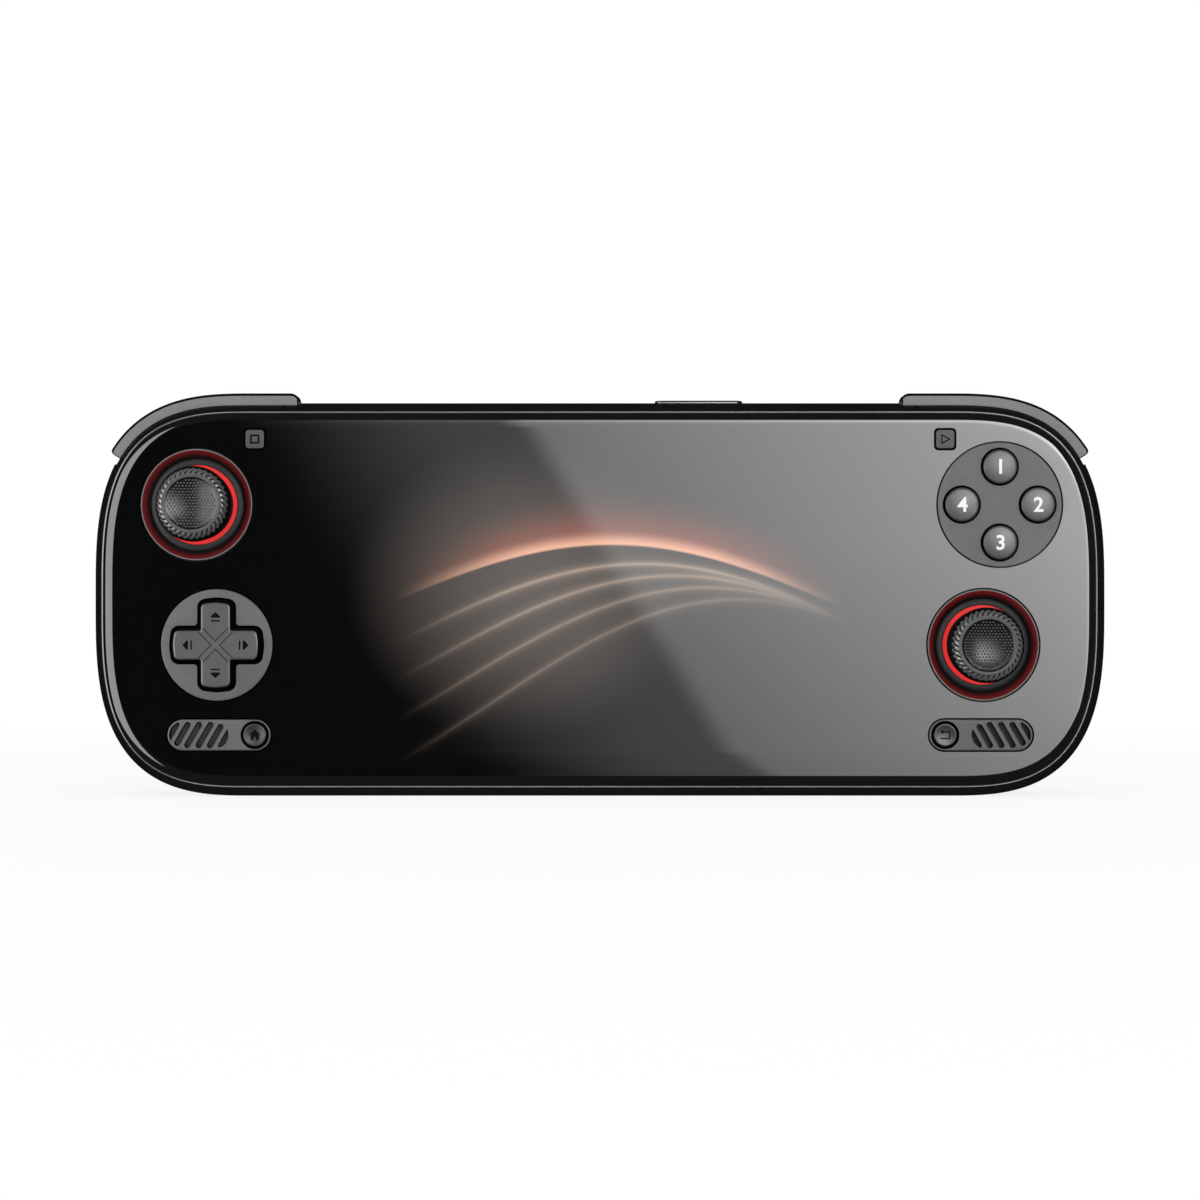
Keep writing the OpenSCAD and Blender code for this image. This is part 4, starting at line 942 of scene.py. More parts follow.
@dataclass(frozen=True)
class ScreenGlass(Finish):
    """Black cover glass with a lit picture behind it, drawn in halves of the screen's sides."""

    half: Point2 = (63.45, 35.7)
    mid_z: float = 41.6
    threads: int = 4
    beat: float = 1.9
    cloud_mid: Point2 = (-0.26, 0.06)
    cloud_pull: Point2 = (2.8, 1.15)
    cloud_light: Colour = (0.095, 0.079, 0.07)
    thread_light: Colour = (1.0, 0.74, 0.56)
    warm_light: Colour = (0.75, 0.14, 0.06)
    hot_light: Colour = (1.0, 0.62, 0.42)
    # Colour of the screen's backlight and of a faint painted glow
    backlight_and_glow_colour: Colour = (1.0, 1.0, 1.02)

    def draw(self, graph: Graph) -> None:
        """Draws the printed black and the picture.

        Args:
            graph: The tree.
        """
        x, _, z = graph.place()
        u, v = x / self.half[0], (z - self.mid_z) / self.half[1]
        inside = (1.0 - abs(u).ramp(0.998, 1.0)) * (1.0 - abs(v).ramp(0.997, 1.0))
        # Faint glow: backlight over the screen, and a painted glow over the whole glass
        backlight_and_glow = graph.scale(self.backlight_and_glow_colour, inside * 0.0002 + 0.001)
        smudge = graph.noise(26.0)
        graph.surface(
            Base_Color=graph.blend(smudge, grey(0.0022, 0.0025), grey(0.003, 0.0032)),
            Roughness=0.03 + smudge * 0.02,
            Coat_Weight=0.25,
            Coat_Roughness=0.02,
            IOR=1.5,
            Emission_Color=graph.add(graph.scale(self.picture(graph, u, v), inside), backlight_and_glow),
            Emission_Strength=1.0,
        )

    def picture(self, graph: Graph, u: Value, v: Value) -> Value:
        """Draws a soft cloud, threads of light and a warm crest above them.

        Args:
            graph: The tree.
            u: Place across the screen, from -1 to 1.
            v: Place up the screen, from -1 to 1.

        Returns:
            The light.
        """
        du, dv = u - self.cloud_mid[0], v - self.cloud_mid[1]
        far = du * du * self.cloud_pull[0] + dv * dv * self.cloud_pull[1]
        light = graph.scale(self.cloud_light, (1.0 - far).most(0.0) ** 1.7)
        window = u.ramp(-0.7, -0.2) * (1.0 - u.ramp(0.3, 0.85))
        for k in range(self.threads):
            swing, shift, drop = 0.62 - 0.05 * k, 0.7 + 0.2 * k, 0.62 - 0.12 * k
            away = abs(v - ((u * self.beat + shift).sin() * swing - drop))
            thread = 1.0 / (1.0 + (away * 95.0) ** 2.0) + (1.0 - away.ramp(0.0, 0.07)) * 0.12
            amount = thread * window * (0.12 + 0.05 * k)
            light = graph.add(light, graph.scale(self.thread_light, amount))
        rise = v - ((u * self.beat + 1.5).sin() * 0.42 - 0.1)
        above = rise.ramp(-0.006, 0.012) * window
        for reach, power, level, colour in (
            (0.42, 2.0, 0.3, self.warm_light),
            (0.11, 1.6, 0.6, self.hot_light),
        ):
            amount = (1.0 - rise.ramp(0.0, reach)) ** power * above * level
            light = graph.add(light, graph.scale(colour, amount))
        return light


@dataclass(frozen=True)
class Board(Finish):
    """Circuit board with darker traces and pale pads."""

    base: Colour = (0.012, 0.07, 0.035)
    trace: Colour = (0.02, 0.12, 0.055)
    pad: Colour = (0.5, 0.42, 0.2)

    def draw(self, graph: Graph) -> None:
        """Draws traces along both axes.

        Args:
            graph: The tree.
        """
        across = graph.noise(1.2, 2.0, (1.0, 1.0, 0.05)).ramp(0.5, 0.53)
        along = graph.noise(1.2, 2.0, (0.05, 1.0, 1.0)).ramp(0.52, 0.55)
        pads = graph.noise(0.9, 0.0).ramp(0.66, 0.7)
        traces = (across + along).least(1.0)
        graph.surface(
            Base_Color=graph.blend(pads, graph.blend(traces, self.base, self.trace), self.pad),
            Roughness=0.4 + traces * 0.15,
            Normal=graph.bump(traces, 0.4, 0.03),
        )


# Moulded: name, colour, roughness, then the size, depth and strength of the grain
PLATE = Moulded("face_button_plate_plastic", grey(0.108, 0.11), 0.55, 0.2, 0.014, 0.6)
GRILLE = Moulded("grille_plastic", grey(0.088, 0.09), 0.55, 0.2, 0.014, 0.6)
DISC = Moulded("disc_plastic", grey(0.094, 0.096), 0.55, 0.2, 0.014, 0.6)
KEY = Moulded("key_plastic", grey(0.06, 0.062), 0.3, 0.2, 0.005, 0.3)
SMALL_KEY = Moulded("small_key_plastic", grey(0.02, 0.021), 0.3, 0.2, 0.001, 0.1)
SQUARE_KEY = Moulded("square_key_plastic", grey(0.095, 0.097), 0.32, 0.2, 0.006, 0.4, gloss=0.1)
CROSS = Moulded("cross_plastic", grey(0.07, 0.072), 0.3, 0.2, 0.003, 0.3, gloss=0.6)
SHOULDER = Moulded("shoulder_plastic", grey(0.16, 0.163), 0.5, 0.18, 0.012, 0.6)
# Painted shade on the rounded front and ends of the bumpers
SHOULDER_SHADE = Moulded("shoulder_painted_shade", grey(0.002), 0.8, 0.18, 0.01, 0.5, gloss=0.05)
CAP = Moulded("cap_rubber", grey(0.1, 0.102), 0.27, 0.12, 0.006, 0.3, gloss=1.0)
CAP_RIM = Moulded("cap_rubber_rim", grey(0.09, 0.092), 0.4, 0.12, 0.006, 0.4, gloss=0.2)
# Painted shade on the skirt and tooth flanks of the cap
CAP_SHADE = Moulded("cap_rubber_painted_shade", grey(0.003), 0.6, 0.12, 0.01, 0.6, gloss=0.08)
# Cap rubber painted in shade in the dish, deepest between the dots, and a little less on the dots
CAP_DISH_SHADE = Moulded("cap_rubber_dish_shaded", grey(0.003), 0.25, 0.12, 0.002, 0.2, gloss=0.45)
CAP_DOT_SHADE = Moulded("cap_rubber_dot_shaded", grey(0.02, 0.021), 0.2, 0.12, 0.001, 0.1, gloss=0.6)
SHELL = Moulded("back_plastic", grey(0.034, 0.035), 0.5, 0.25, 0.02, 0.7)
DARK = Moulded("inner_plastic", grey(0.012, 0.013), 0.5)
# Black: painted shade in openings, on hole and groove walls and on the sides and flanks of keys; the
# own colour of the sensor window, the bumper pins and the cross foot
BLACK_AND_PAINTED_SHADE = Moulded("black_and_painted_shade", grey(0.002), 0.8, gloss=0.05)
SPEAKER = Moulded("speaker_mesh", grey(0.07), 0.6, 0.5, 0.05, 0.8)
MEMBRANE = Moulded("membrane_rubber", grey(0.4, 0.38), 0.7)
BATTERY = Moulded("battery_wrap", grey(0.02, 0.022), 0.35, 0.6)
FRAME = Metal("frame_metal", grey(0.08, 0.083), 0.18, lines=0.1, edge=0.45)
CHAMFER = CutEdge("frame_chamfer")
EDGE_KEY = Metal("edge_key_metal", grey(0.12, 0.125), 0.32, edge=0.3)
STEEL = Metal("steel", grey(0.56, 0.58), 0.3)
DARK_STEEL = Metal("dark_steel", grey(0.06, 0.065), 0.35)
COPPER = Metal("cooler_metal", (0.72, 0.4, 0.22), 0.3)
# White print with a faint painted glow
WHITE_INK = Ink("white_ink", grey(0.86), 0.15)
# Engraved signs drawn as black ink: painted shade of the engraving
ENGRAVING_SHADE_INK = Ink("engraving_painted_shade", grey(0.003), gloss=0.04)
CIRCUIT = Board("circuit_board")
GLASS = ScreenGlass("cover_glass")


@dataclass
class Assembly:
    """A group of pieces that belong together."""

    layout: Layout

    def draft(self) -> Draft:
        """Starts a draft."""
        return Draft(self.layout)

    def cutter(self, draft: Draft) -> bpy.types.Object:
        """Makes a cutting shape of a draft."""
        return draft.build("cutter", [BLACK_AND_PAINTED_SHADE])

    def hole(self, loop: Loop, front: float, back: float) -> bpy.types.Object:
        """Makes a cutting shape whose walls take the second slot, painted black as shade."""
        walls = self.draft().levels([(front, loop), (back, loop)], [1])
        return walls.build("cutter", [BLACK_AND_PAINTED_SHADE, BLACK_AND_PAINTED_SHADE])

    def depths(self, node: str) -> Point2:
        """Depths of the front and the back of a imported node."""
        low, high = span(node)
        return low[1] - self.layout.face_y, high[1] - self.layout.face_y

    def keep(self, obj: bpy.types.Object, body: str, slot: str, *nodes: str) -> None:
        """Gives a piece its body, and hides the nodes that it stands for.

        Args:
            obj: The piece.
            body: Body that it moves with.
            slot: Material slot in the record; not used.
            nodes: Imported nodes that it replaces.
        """
        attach(obj, body)
        if nodes:
            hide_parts(*nodes)
        LOG.info("%s: %d faces on %s", obj.name, len(obj.data.polygons), body)

    def finish(self, finish: Finish, *nodes: str) -> None:
        """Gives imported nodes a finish.

        Args:
            finish: The finish.
            nodes: Their names.
        """
        for name in nodes:
            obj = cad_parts[name]
            obj.data.materials.clear()
            obj.data.materials.append(finish.material())
            LOG.info("%s: finished as %s", name, finish.name)

    def build(self) -> None:
        """Makes the pieces."""
        raise NotImplementedError


@dataclass
class Body(Assembly):
    """Frame, glass and back cover."""

    # Inset and drop across the rim, as shares of its width and depth
    rim: Points = (
        (1.0, 0.0), (0.965, 0.003), (0.91, 0.018), (0.85, 0.045), (0.79, 0.085),
        (0.73, 0.14), (0.55, 0.36), (0.36, 0.6), (0.18, 0.82), (0.06, 0.95),
        (0.0, 1.06),
    )
    top_openings: Openings = (
        ("volume_rocker", 19.3, 3.8),
        ("power_button", 11.8, 3.8),
    )
    low_openings: Openings = (
        ("usb_port", 9.24, 3.46),
        ("card_reader", 11.8, 1.8),
        ("audio_jack", 5.1, 5.1),
    )
    vents: int = 9
    exhaust: Point2 = (1.8, 4.4)
    exhaust_pitch: float = 3.2
    rebate_turn: float = 34.5
    rebate_x: float = 63.55
    rebate_in: float = 2.4
    rebate_out: float = 4.1
    rebate_d: Point2 = (2.1, 7.45)
    pocket_x: Point2 = (65.35, 89.75)
    pocket_low: float = 77.4
    pocket_high: float = 90.0
    pocket_front: float = 8.05
    pocket_back: float = 11.2
    notch_low: float = 78.5
    glass_sharp: float = 50.0
    round_holes: Tuple[Tuple[str, float], ...] = (
        ("left_stick_collar", 12.08),
        ("right_stick_collar", 12.08),
        ("dpad_plate", 12.06),
        ("face_button_plate", 13.4),
    )
    pill_hole: Point2 = (22.46, 7.16)
    square_hole: float = 4.75
    square_hole_r: float = 0.95
    sensor: Point2 = (-69.8, 63.84)
    sensor_rim: Points = ((0.0, -0.012), (0.3, -0.012), (0.42, 0.004), (0.0, 0.004))
    intake_pitch: float = 2.9
    intake_w: float = 1.5
    intake_lean: float = 60.0
    intake_long: float = 260.0
    intake_loss: float = 6.4
    screws: Points = ((64.45, 7.6), (64.45, 71.5), (99.75, 41.6))
    screw_r: float = 2.05
    grip_in: float = 20.5
    grip_drop: float = 5.0
    grip_size: Point2 = (15.0, 26.0)
    grip_reach: float = 2.4
    grip_steps: int = 28
    grip_sharp: float = 60.0

    def build(self) -> None:
        """Makes the three shells and the palm swells."""
        self.frame_shell()
        self.glass()
        self.cover()
        for side in Side:
            self.grip(side)
        self.finish(DARK_STEEL, "back_screws")

    def frame_shell(self) -> None:
        """Makes the metal frame with its polished chamfer and its openings."""
        s = self.layout
        soft_d, soft_in = s.seam_soft
        levels = [(s.glass_t, s.pocket_in), (s.rim_d + s.chamfer_d, s.pocket_in)]
        levels += [(s.rim_d + s.rim_round_d * drop, s.rim_w * inset) for inset, drop in self.rim]
        levels += [(s.seam - soft_d, 0.0), (s.seam, soft_in), (s.seam, s.wall)]
        levels += [(s.web_back, s.wall), (s.web_back, s.ledge_in), (s.glass_t, s.ledge_in)]
        marks = [0] * len(levels)
        marks[1] = 1
        loops = [(d, s.outline(inset)) for d, inset in levels]
        obj = self.draft().levels(loops, marks, closed=True).build("frame_shell", [FRAME, CHAMFER])
        carve(obj, self.edge_cuts() + self.shoulder_cuts())
        self.keep(obj, "chassis", "frame_metal", "mid_frame")

    def edge_cuts(self) -> List[bpy.types.Object]:
        """Openings in the top and bottom edges.

        Returns:
            The cutting shapes.
        """
        s = self.layout
        y, upper, lower = s.y(s.edge_d), (s.top - s.wall - 1, s.top + 1), (-1, s.wall + 1)
        cuts: List[bpy.types.Object] = []
        for reach, openings in ((upper, self.top_openings), (lower, self.low_openings)):
            for node, length, width in openings:
                loop = stadium((middle(node)[0], y), length, width, 12)
                cuts.append(self.cutter(self.draft().upright([(z, loop) for z in reach])))
        fan_x = middle("fan_rotor")[0]
        slots = self.draft()
        for i in range(self.vents):
            loop = stadium((fan_x + (i - self.vents // 2) * self.exhaust_pitch, y), *self.exhaust)
            slots.upright([(z, loop) for z in upper])
        return cuts + [self.cutter(slots)]

    def pocket(self, side: Side, low: float) -> Loop:
        """Outline of a trigger's room, from a height up."""
        return side.mirror(rectangle(self.pocket_x[0], low, self.pocket_x[1], self.pocket_high))

    def shoulder_cuts(self) -> List[bpy.types.Object]:
        """Rebates for the bumpers and pockets for the triggers.

        Returns:
            The cutting shapes.
        """
        s, x = self.layout, self.rebate_x
        cuts: List[bpy.types.Object] = []
        turns = [self.rebate_turn + (90 - self.rebate_turn) * i / 40 for i in range(41)]
        loop = [s.corner(turn, self.rebate_in) for turn in turns]
        loop += [(x, s.top - self.rebate_in), (x, s.top + self.rebate_out)]
        loop += [s.corner(turn, -self.rebate_out) for turn in reversed(turns)]
        for side in Side:
            rebate = self.draft().prism(side.mirror(loop), *self.rebate_d)
            room = self.pocket(side, self.pocket_low)
            pocket = self.draft().prism(room, self.pocket_front, s.seam + 1)
            cuts += [self.cutter(rebate), self.cutter(pocket)]
        return cuts

    def glass(self) -> None:
        """Makes the cover glass with its curved edge and cut-outs."""
        s = self.layout
        levels = [
            (s.glass_edge_drop * drop, s.outline(s.glass_in + s.glass_edge_w * inset))
            for drop, inset in fillet(14)
        ]
        levels.append((s.glass_t, s.outline(s.glass_in)))
        obj = self.draft().levels(levels).build("glass_cover", [GLASS, BLACK_AND_PAINTED_SHADE], self.glass_sharp)
        loops = [circle(middle(node), r, 128) for node, r in self.round_holes]
        for side in Side:
            loops.append(stadium(middle(f"{side.word}_speaker_plate"), *self.pill_hole, 16))
        for node in ("menu_button", "start_button"):
            width = self.square_hole
            loops.append(round_rect(middle(node), width, width, self.square_hole_r))
        carve(obj, [self.hole(loop, -1, 2) for loop in loops], self.glass_sharp)
        self.keep(obj, "chassis", "cover_glass", "front_glass")
        dot = self.draft().lathe(self.sensor, self.sensor_rim, 32)
        self.keep(dot.build("sensor_window", [BLACK_AND_PAINTED_SHADE]), "chassis", "cover_glass")

    def cover(self) -> None:
        """Makes the back cover with its intake, its screw holes and its room for the triggers."""
        s = self.layout
        soft_d, soft_in = s.seam_soft
        levels = [(s.cover_in, s.wall), (s.seam, s.wall), (s.seam, soft_in), (s.seam + soft_d, 0.0)]
        bend = [(s.back - (s.back - s.seam) * drop, s.cover_round * i) for drop, i in fillet(12)]
        levels += bend[-2::-1]
        loops = [(d, s.outline(inset)) for d, inset in levels]
        obj = self.draft().levels(loops).build("back_shell", [SHELL, BLACK_AND_PAINTED_SHADE])
        through = (s.cover_in - 1, s.back + 1)
        fan = middle("fan_rotor")
        slots, holes = self.draft(), self.draft()
        for k in range(self.vents):
            i = k - self.vents // 2
            centre = (fan[0] + i * self.intake_pitch, fan[1])
            length = math.sqrt(self.intake_long - self.intake_loss * i * i)
            slot = stadium(centre, length, self.intake_w)
            slots.prism(turned_loop(slot, centre, self.intake_lean), *through)
        for place in self.screws:
            for side in Side:
                holes.prism(circle(side.mirror([place])[0], self.screw_r, 32), *through)
        cuts = [self.cutter(slots), self.cutter(holes)]
        for side in Side:
            for front, back, low in (
                (s.seam - 1, self.pocket_back, self.pocket_low),
                (s.seam + 0.3, s.back + 4, self.notch_low),
            ):
                cuts.append(self.cutter(self.draft().prism(self.pocket(side, low), front, back)))
        carve(obj, cuts)
        self.keep(obj, "chassis", "back_shell", "back_cover")

    def grip(self, side: Side) -> None:
        """Makes the swelling under one palm.

        Args:
            side: Which palm.
        """
        s = self.layout
        centre = (side.value * (s.half_w - self.grip_in), s.half_h - self.grip_drop)
        rings: List[Level] = []
        for k in range(self.grip_steps + 1):
            share = 1 - k / (self.grip_steps + 0.4)
            rise = self.grip_reach * (0.5 + 0.5 * math.cos(math.pi * share)) - 0.004
            w, h = (size * share for size in self.grip_size)
            loop = placed([(w * math.cos(a), h * math.sin(a)) for a in TURNS], centre)
            if k == 0:
                rings.append((s.back - 0.3, loop))
            rings.append((s.back + rise, loop))
        word, screw = side.word, circle(side.mirror(self.screws)[-1], self.screw_r, 32)
        obj = self.draft().levels(rings).build(f"{word}_grip", [SHELL, BLACK_AND_PAINTED_SHADE], self.grip_sharp)
        carve(obj, [self.hole(screw, s.back - 2, s.back + 6)], self.grip_sharp)
        self.keep(obj, "chassis", "back_shell")


@dataclass
class Stick(Assembly):
    """One thumbstick with its collar and light."""

    side: Side
    teeth: int = 36
    tooth: float = 0.5
    lean: float = 8.0
    reach: float = 7.0
    stem_r: float = 3.4
    stem_d: float = 0.25
    top_r: float = 6.25
    mid_r: float = 7.3
    low_r: float = 7.93
    low_d: float = -3.6
    lip: float = 0.45
    high_d: float = -6.75
    shoulder_d: float = -5.7
    # Rise and inset of the rounded rim
    rim: Points = ((0.02, 0.03), (0.13, 0.05), (0.21, 0.1), (0.245, 0.18), (0.25, 0.28))
    dish_r: float = 5.42
    dish_d: float = 0.85
    dish_step: float = 0.08
    dot_pitch: float = 0.7
    dot_r: float = 0.25
    dot_margin: float = 0.3
    centre: Point2 = field(init=False)
    PER: ClassVar[int] = 8
    # Points of a tooth between which its flank is painted in shade
    SHADED_FLANK: ClassVar[Tuple[int, ...]] = (2, 3, 4)
    TOP, DARK_SIDE, DISH, RIM = range(4)

    def __post_init__(self) -> None:
        """Finds where the stick is."""
        self.centre = middle(f"{self.side.word}_stick_cap")

    @property
    def ball(self) -> float:
        """Radius of the ball that the dish is part of."""
        return ball_radius(self.dish_r, self.dish_d)

    def build(self) -> None:
        """Makes the cap and finishes what is around it."""
        word = self.side.word
        self.cap()
        self.dots()
        self.finish(Bowl(f"{word}_bowl", self.centre), f"{word}_stick_collar")
        self.finish(LitRing(f"{word}_red_light", self.centre), f"{word}_light_ring")
        self.finish(STEEL, f"{word}_stick_yoke", f"{word}_stick_base")
        self.finish(DARK, f"{word}_stick_carrier", f"{word}_stick_stem")

    def toothed(self, depth: float, radius: float, deep: float, lean: float) -> Ring:
        """Ring of leaning teeth.

        Args:
            depth: Its depth.
            radius: Radius over the teeth.
            deep: Depth of the teeth.
            lean: Turn of the ring in degrees.

        Returns:
            The ring.
        """
        ring: Ring = []
        count, (x, z), y = self.teeth * self.PER, self.centre, self.layout.y(depth)
        for i in range(count):
            a = 2 * math.pi * i / count + math.radians(lean)
            wave = 0.5 + 0.5 * math.cos(2 * math.pi * i / self.PER)
            r = radius - deep * (1 - wave ** 0.8)
            ring.append((x + r * math.cos(a), y, z + r * math.sin(a)))
        return ring

    def cap(self) -> None:
        """Makes the cap with its knurled side, rim and dish."""
        lean, lip_d = self.lean, self.low_d - self.lip
        under = (
            (self.stem_d, self.stem_r),
            (self.low_d, self.stem_r),
            (self.low_d, self.low_r - 0.5),
            (self.low_d - 0.12, self.low_r - 0.2),
            (lip_d, self.low_r),
        )
        rings = [self.toothed(d, r, 0.0, -lean) for d, r in under]
        # The underside and the skirt below the teeth take painted shade
        marks = [self.DARK_SIDE] * 4
        for t in (0.25, 0.5, 0.75, 1.0):
            depth = lip_d + (self.shoulder_d - lip_d) * t
            radius = self.low_r + (self.mid_r - self.low_r) * t
            rings.append(self.toothed(depth, radius, self.tooth * t, lean * (t - 1)))
            marks.append(self.DARK_SIDE if t < 1 else self.TOP)
        first = len(marks) - 1
        for k in range(1, 7):
            t = k / 6
            turn = math.pi / 2 * (1 - t)
            depth = self.high_d + (self.shoulder_d - self.high_d) * (1 - math.cos(turn))
            radius = self.top_r + (self.mid_r - self.top_r) * math.sin(turn)
            rings.append(self.toothed(depth, radius, self.tooth * (1 - 0.85 * t), lean * t))
            marks.append(self.TOP)
        last = len(marks)
        smooth = [(self.high_d - rise, self.top_r - inset) for rise, inset in self.rim]
        smooth.append((-self.reach, self.dish_r + 0.1))
        marks += [self.RIM] * len(smooth)
        for k in range(13):
            r = self.dish_r * (1 - k / 12.5)
            depth = -self.reach + self.dish_d - self.ball + math.sqrt(self.ball ** 2 - r * r)
            smooth.append((depth + (self.dish_step if k == 0 else 0.0), r))
        rings += [self.toothed(d, r, 0.0, lean) for d, r in smooth]
        draft = self.draft().loft(rings, marks + [self.DISH] * 14)
        count = self.teeth * self.PER
        # Painted shade on the flanks of the teeth
        for k in range(first * count, last * count):
            if k % self.PER in self.SHADED_FLANK:
                draft.faces[k] = (draft.faces[k][0], self.DARK_SIDE)
        word = self.side.word
        obj = draft.build(f"{word}_cap", [CAP, CAP_SHADE, CAP_DISH_SHADE, CAP_RIM], 50)
        self.keep(obj, f"{word}_stick", "cap_rubber", f"{word}_stick_cap")

    def dots(self) -> None:
        """Makes the grip dots in the dish with Geometry Nodes."""
        y = self.layout.y(-self.reach + self.dish_d - self.ball)
        sizes = {
            "Pitch": self.dot_pitch * MM,
            "Reach": (self.dish_r - self.dot_margin) * MM,
            "Ball": self.ball * MM,
            "Size": self.dot_r * MM,
            "Centre": (self.centre[0] * MM, y * MM, self.centre[1] * MM),
        }
        obj = DotField(CAP_DOT_SHADE).make(f"{self.side.word}_dots", sizes)
        self.keep(obj, f"{self.side.word}_stick", "cap_rubber")


@dataclass
class DotField:
    """Geometry Nodes that lay small domes in a honeycomb on a hollow ball."""

    finish: Finish
    count: int = 19
    flatness: float = 0.4
    sharp: float = 60.0

    def tree(self) -> bpy.types.NodeTree:
        """Makes the node group.

        Returns:
            The group.
        """
        tree = bpy.data.node_groups.new("dot_field", "GeometryNodeTree")
        for name in ("Pitch", "Reach", "Ball", "Size"):
            tree.interface.new_socket(name, in_out="INPUT", socket_type="NodeSocketFloat")
        tree.interface.new_socket("Centre", in_out="INPUT", socket_type="NodeSocketVector")
        tree.interface.new_socket("Geometry", in_out="OUTPUT", socket_type="NodeSocketGeometry")
        graph = Graph(tree)
        source = graph.node("NodeGroupInput").outputs
        pitch, reach, ball = (Value(graph, source[name]) for name in ("Pitch", "Reach", "Ball"))
        index, half = graph.out("GeometryNodeInputIndex"), (self.count - 1) / 2
        row = ((index + 0.5) / self.count).math("FLOOR")
        column = index - row * self.count
        x = (column + row.math("MODULO", 2.0) * 0.5 - half) * pitch
        z = (row - half) * math.sqrt(0.75) * pitch
        far = x * x + z * z
        place = graph.out("ShaderNodeCombineXYZ", {0: x, 1: (ball * ball - far).root(), 2: z})
        cloud = graph.out("GeometryNodePoints", {"Count": self.count * self.count})
        moved = {"Geometry": cloud, "Position": graph.add(place, source["Centre"])}
        chosen = {
            "Geometry": graph.out("GeometryNodeSetPosition", moved),
            "Selection": far.root().math("GREATER_THAN", reach),
        }
        dome = graph.out("GeometryNodeMeshIcoSphere", {"Subdivisions": 2, "Radius": source["Size"]})
        flat = {"Geometry": dome, "Scale": (1.0, self.flatness, 1.0)}
        copies = {
            "Points": graph.out("GeometryNodeDeleteGeometry", chosen),
            "Instance": graph.out("GeometryNodeTransform", flat),
        }
        made = graph.out("GeometryNodeInstanceOnPoints", copies)
        for kind in ("GeometryNodeRealizeInstances", "GeometryNodeSetShadeSmooth"):
            made = graph.out(kind, {0: made})
        paint = {"Geometry": made, "Material": self.finish.material()}
        graph.node("NodeGroupOutput", {0: graph.out("GeometryNodeSetMaterial", paint)})
        return tree

    def make(self, name: str, inputs: Dict[str, Any]) -> bpy.types.Object:
        """Makes the field as a mesh.

        Args:
            name: Name of the piece.
            inputs: Values of the named inputs.

        Returns:
            The object, with no modifier left.
        """
        tree = bpy.data.node_groups.get("dot_field") or self.tree()
        obj = linked(name, bpy.data.meshes.new(name))
        step = obj.modifiers.new("dots", "NODES")
        step.node_group = tree
        for item in tree.interface.items_tree:
            if item.in_out == "INPUT":
                step[item.identifier] = inputs[item.name]
        settle(obj, self.sharp)
        return obj


